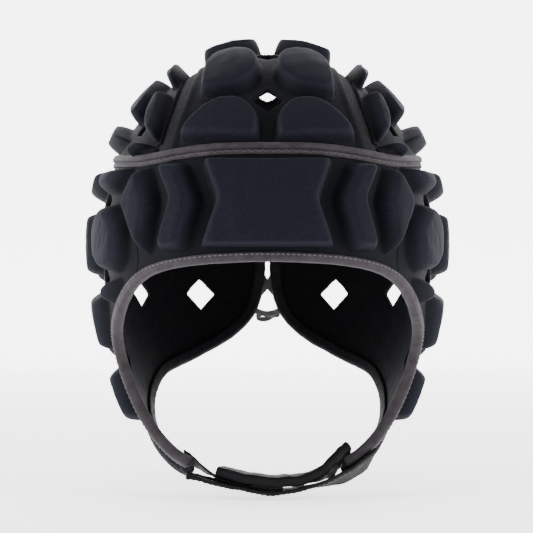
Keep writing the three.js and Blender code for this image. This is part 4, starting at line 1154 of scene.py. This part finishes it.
def new_material(name):
    """Material, its node tree and its surface node."""
    material = bpy.data.materials.new(name)
    material.use_nodes = True
    return material, material.node_tree, material.node_tree.nodes["Principled BSDF"]


def mark_of(tree, name):
    """Number that a mesh carries at each point."""
    return node(tree, "Attribute", attribute_name=name).outputs["Fac"]


def cloth_material(name):
    """Padded cloth: the knit group feeds a plain surface with a soft sheen."""
    material, tree, surface = new_material(name)
    # The rise mark sets the painted valley shade and the rim mark the painted rim highlight
    marks = dict(Rise=mark_of(tree, "rise"), RimHighlight=mark_of(tree, "rim"), Inner=mark_of(tree, "lining"))
    group = node(tree, "Group", marks, node_tree=KNIT)
    set_inputs(tree, surface, {
        "Base Color": group.outputs["Colour"],
        "Roughness": group.outputs["Roughness"],
        "Normal": group.outputs["Normal"],
        "Sheen Weight": 0.012,
        "Sheen Roughness": 0.45,
        "Sheen Tint": (0.75, 0.78, 1.0, 1),
        "Specular IOR Level": 0.07,
    })
    return material


def band_material(name, tint, thread, pitch, relief, roughness, sheen, specular):
    """Tape, strap, mesh or lace: the weave group feeds a plain surface."""
    material, tree, surface = new_material(name)
    group = node(tree, "Group", {
        "Threads": mark_of(tree, "thread"),
        "Tint": (*tint, 1),
        "Thread": (*thread, 1),
        "Pitch": pitch,
        "Relief": relief,
    }, node_tree=WEAVE)
    set_inputs(tree, surface, {
        "Base Color": group.outputs["Colour"],
        "Normal": group.outputs["Normal"],
        "Roughness": roughness,
        "Sheen Weight": sheen,
        "Specular IOR Level": specular,
    })
    return material


# Bands by slot: name, tint, thread's colour, pitch in metres, relief, roughness, sheen and specular level
BANDS = dict(
    mesh_cloth=("Mesh cloth", (0.0035, 0.0035, 0.005), (0.01, 0.01, 0.012), 0.0011, 0.9, 0.8, 0.02, 0.15),
    grey_tape=("Grey tape", (0.021, 0.0172, 0.0205), (0.075, 0.068, 0.078), 0.0006, 0.35, 0.7, 0.04, 0.15),
    black_tape=("Black tape", (0.0045, 0.0045, 0.0062), (0.016, 0.016, 0.02), 0.0006, 0.35, 0.65, 0.01, 0.08),
    strap_cloth=("Strap cloth", (0.0022, 0.0022, 0.003), (0.01, 0.01, 0.013), 0.0009, 0.5, 0.6, 0.0, 0.09),
    lace_cord=("Lace", (0.05, 0.045, 0.05), (0.03, 0.03, 0.03), 0.0012, 0.5, 0.75, 0.08, 0.3),
)
materials = dict(padded_cloth=cloth_material("Padded cloth"))
for slot, settings in BANDS.items():
    materials[slot] = band_material(*settings)

# Pieces: mesh, slot, the nodes it replaces, and how full its padding is
PIECES = [
    (forehead, "padded_cloth", ["forehead_panel"], 0.9),
    (side_left, "padded_cloth", ["side_panel_left"], 0.9),
    (side_right, "padded_cloth", ["side_panel_right"], 0.9),
    (crown_middle, "padded_cloth", ["crown_centre"], 0.9),
    (crown_left, "padded_cloth", ["crown_side_left"], 0.9),
    (crown_right, "padded_cloth", ["crown_side_right"], 0.9),
    (gusset_left, "mesh_cloth", ["gusset_left"], None),
    (gusset_right, "mesh_cloth", ["gusset_right"], None),
    (crown_tape, "grey_tape", ["crown_tape"], None),
    (face_tape, "grey_tape", ["face_tape"], None),
    (neck_left, "black_tape", ["neck_tape_left"], None),
    (neck_right, "black_tape", ["neck_tape_right"], None),
    (strap_tab, "strap_cloth", ["strap_tab"], None),
    (strap_outer, "strap_cloth", ["strap_outer"], None),
    (strap_pad, "strap_cloth", ["strap_pad"], 0.85),
    (lace, "lace_cord", ["lace_crossings"], None),
    (bow, "lace_cord", ["lace_bow"], None),
]
for piece, slot, nodes, fill in PIECES:
    piece.data.materials.clear()
    piece.data.materials.append(materials[slot])
    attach(piece, "root")
    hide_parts(*nodes)


# Floor that curves up behind: places back and up in metres, and how far it glows
FLOOR_LEVEL = -0.2315
FLOOR_SIDE = 5.0
COVE_ROWS = 90
cove_profile = np.array([
    (-3.0, 0.0, 0.0), (-0.5, 0.0, 0.0), (0.3, 0.0, 0.0), (1.2, 0.0, 0.5), (1.8, 0.03, 1.0), (2.4, 0.25, 1.0),
    (2.8, 0.8, 1.0), (2.95, 3.4, 1.0),
])
cove = smooth_line(cove_profile, COVE_ROWS)
floor_points = np.array([(x, y, z + FLOOR_LEVEL) for y, z, _ in cove for x in (-FLOOR_SIDE, FLOOR_SIDE)])
glow = np.repeat(np.clip(cove[:, 2], 0, 1), 2)
floor = build_mesh("floor", floor_points * 1000, grid_faces(COVE_ROWS, 2), dict(glow=glow))
paper, paper_tree, paper_surface = new_material("Paper")
set_inputs(paper_tree, paper_surface, {
    "Emission Strength": ranged(paper_tree, mark_of(paper_tree, "glow"), 1.5, 4.2),
    "Emission Color": (1, 1, 1, 1),
    "Base Color": (0.9, 0.9, 0.9, 1),
    "Roughness": 0.9,
})
floor.data.materials.append(paper)


# Lights and camera
def area_light(name, place, aim, size, power):
    """Square soft light that faces a point."""
    light = bpy.data.lights.new(name, "AREA")
    light.size = size
    light.energy = power
    lamp = bpy.data.objects.new(name, light)
    lamp.location = place
    way = np.array(aim, float) - np.array(place, float)
    flat = math.hypot(way[0], way[1])
    lamp.rotation_euler = (math.atan2(flat, -way[2]), 0, math.atan2(-way[0], way[1]))
    bpy.context.collection.objects.link(lamp)


area_light("top", (0.0, -0.15, 1.4), (0, 0, -0.1), 1.2, 16)
area_light("side_left", (-1.7, -0.55, 0.35), (0, 0, -0.12), 1.1, 74)
area_light("side_right", (1.7, -0.55, 0.3), (0, 0, -0.12), 1.1, 64)
area_light("front", (0.0, -1.8, 0.7), (0, 0, -0.12), 1.0, 2)

world = bpy.data.worlds.new("Studio")
world.use_nodes = True
background = world.node_tree.nodes["Background"]
set_inputs(world.node_tree, background, {"Color": (1, 1, 1, 1), "Strength": 0.4})
bpy.context.scene.world = world

SENSOR_WIDTH = 36
VIEW_ANGLE = 13.13
camera_data = bpy.data.cameras.new("camera")
camera_data.sensor_width = SENSOR_WIDTH
camera_data.lens = SENSOR_WIDTH / 2 / math.tan(math.radians(VIEW_ANGLE / 2))
camera_data.clip_end = 20
camera = bpy.data.objects.new("camera", camera_data)
camera.location = (-0.00054, -1.25, -0.1115)
camera.rotation_euler = (math.pi / 2, 0, 0)
bpy.context.collection.objects.link(camera)
bpy.context.scene.camera = camera
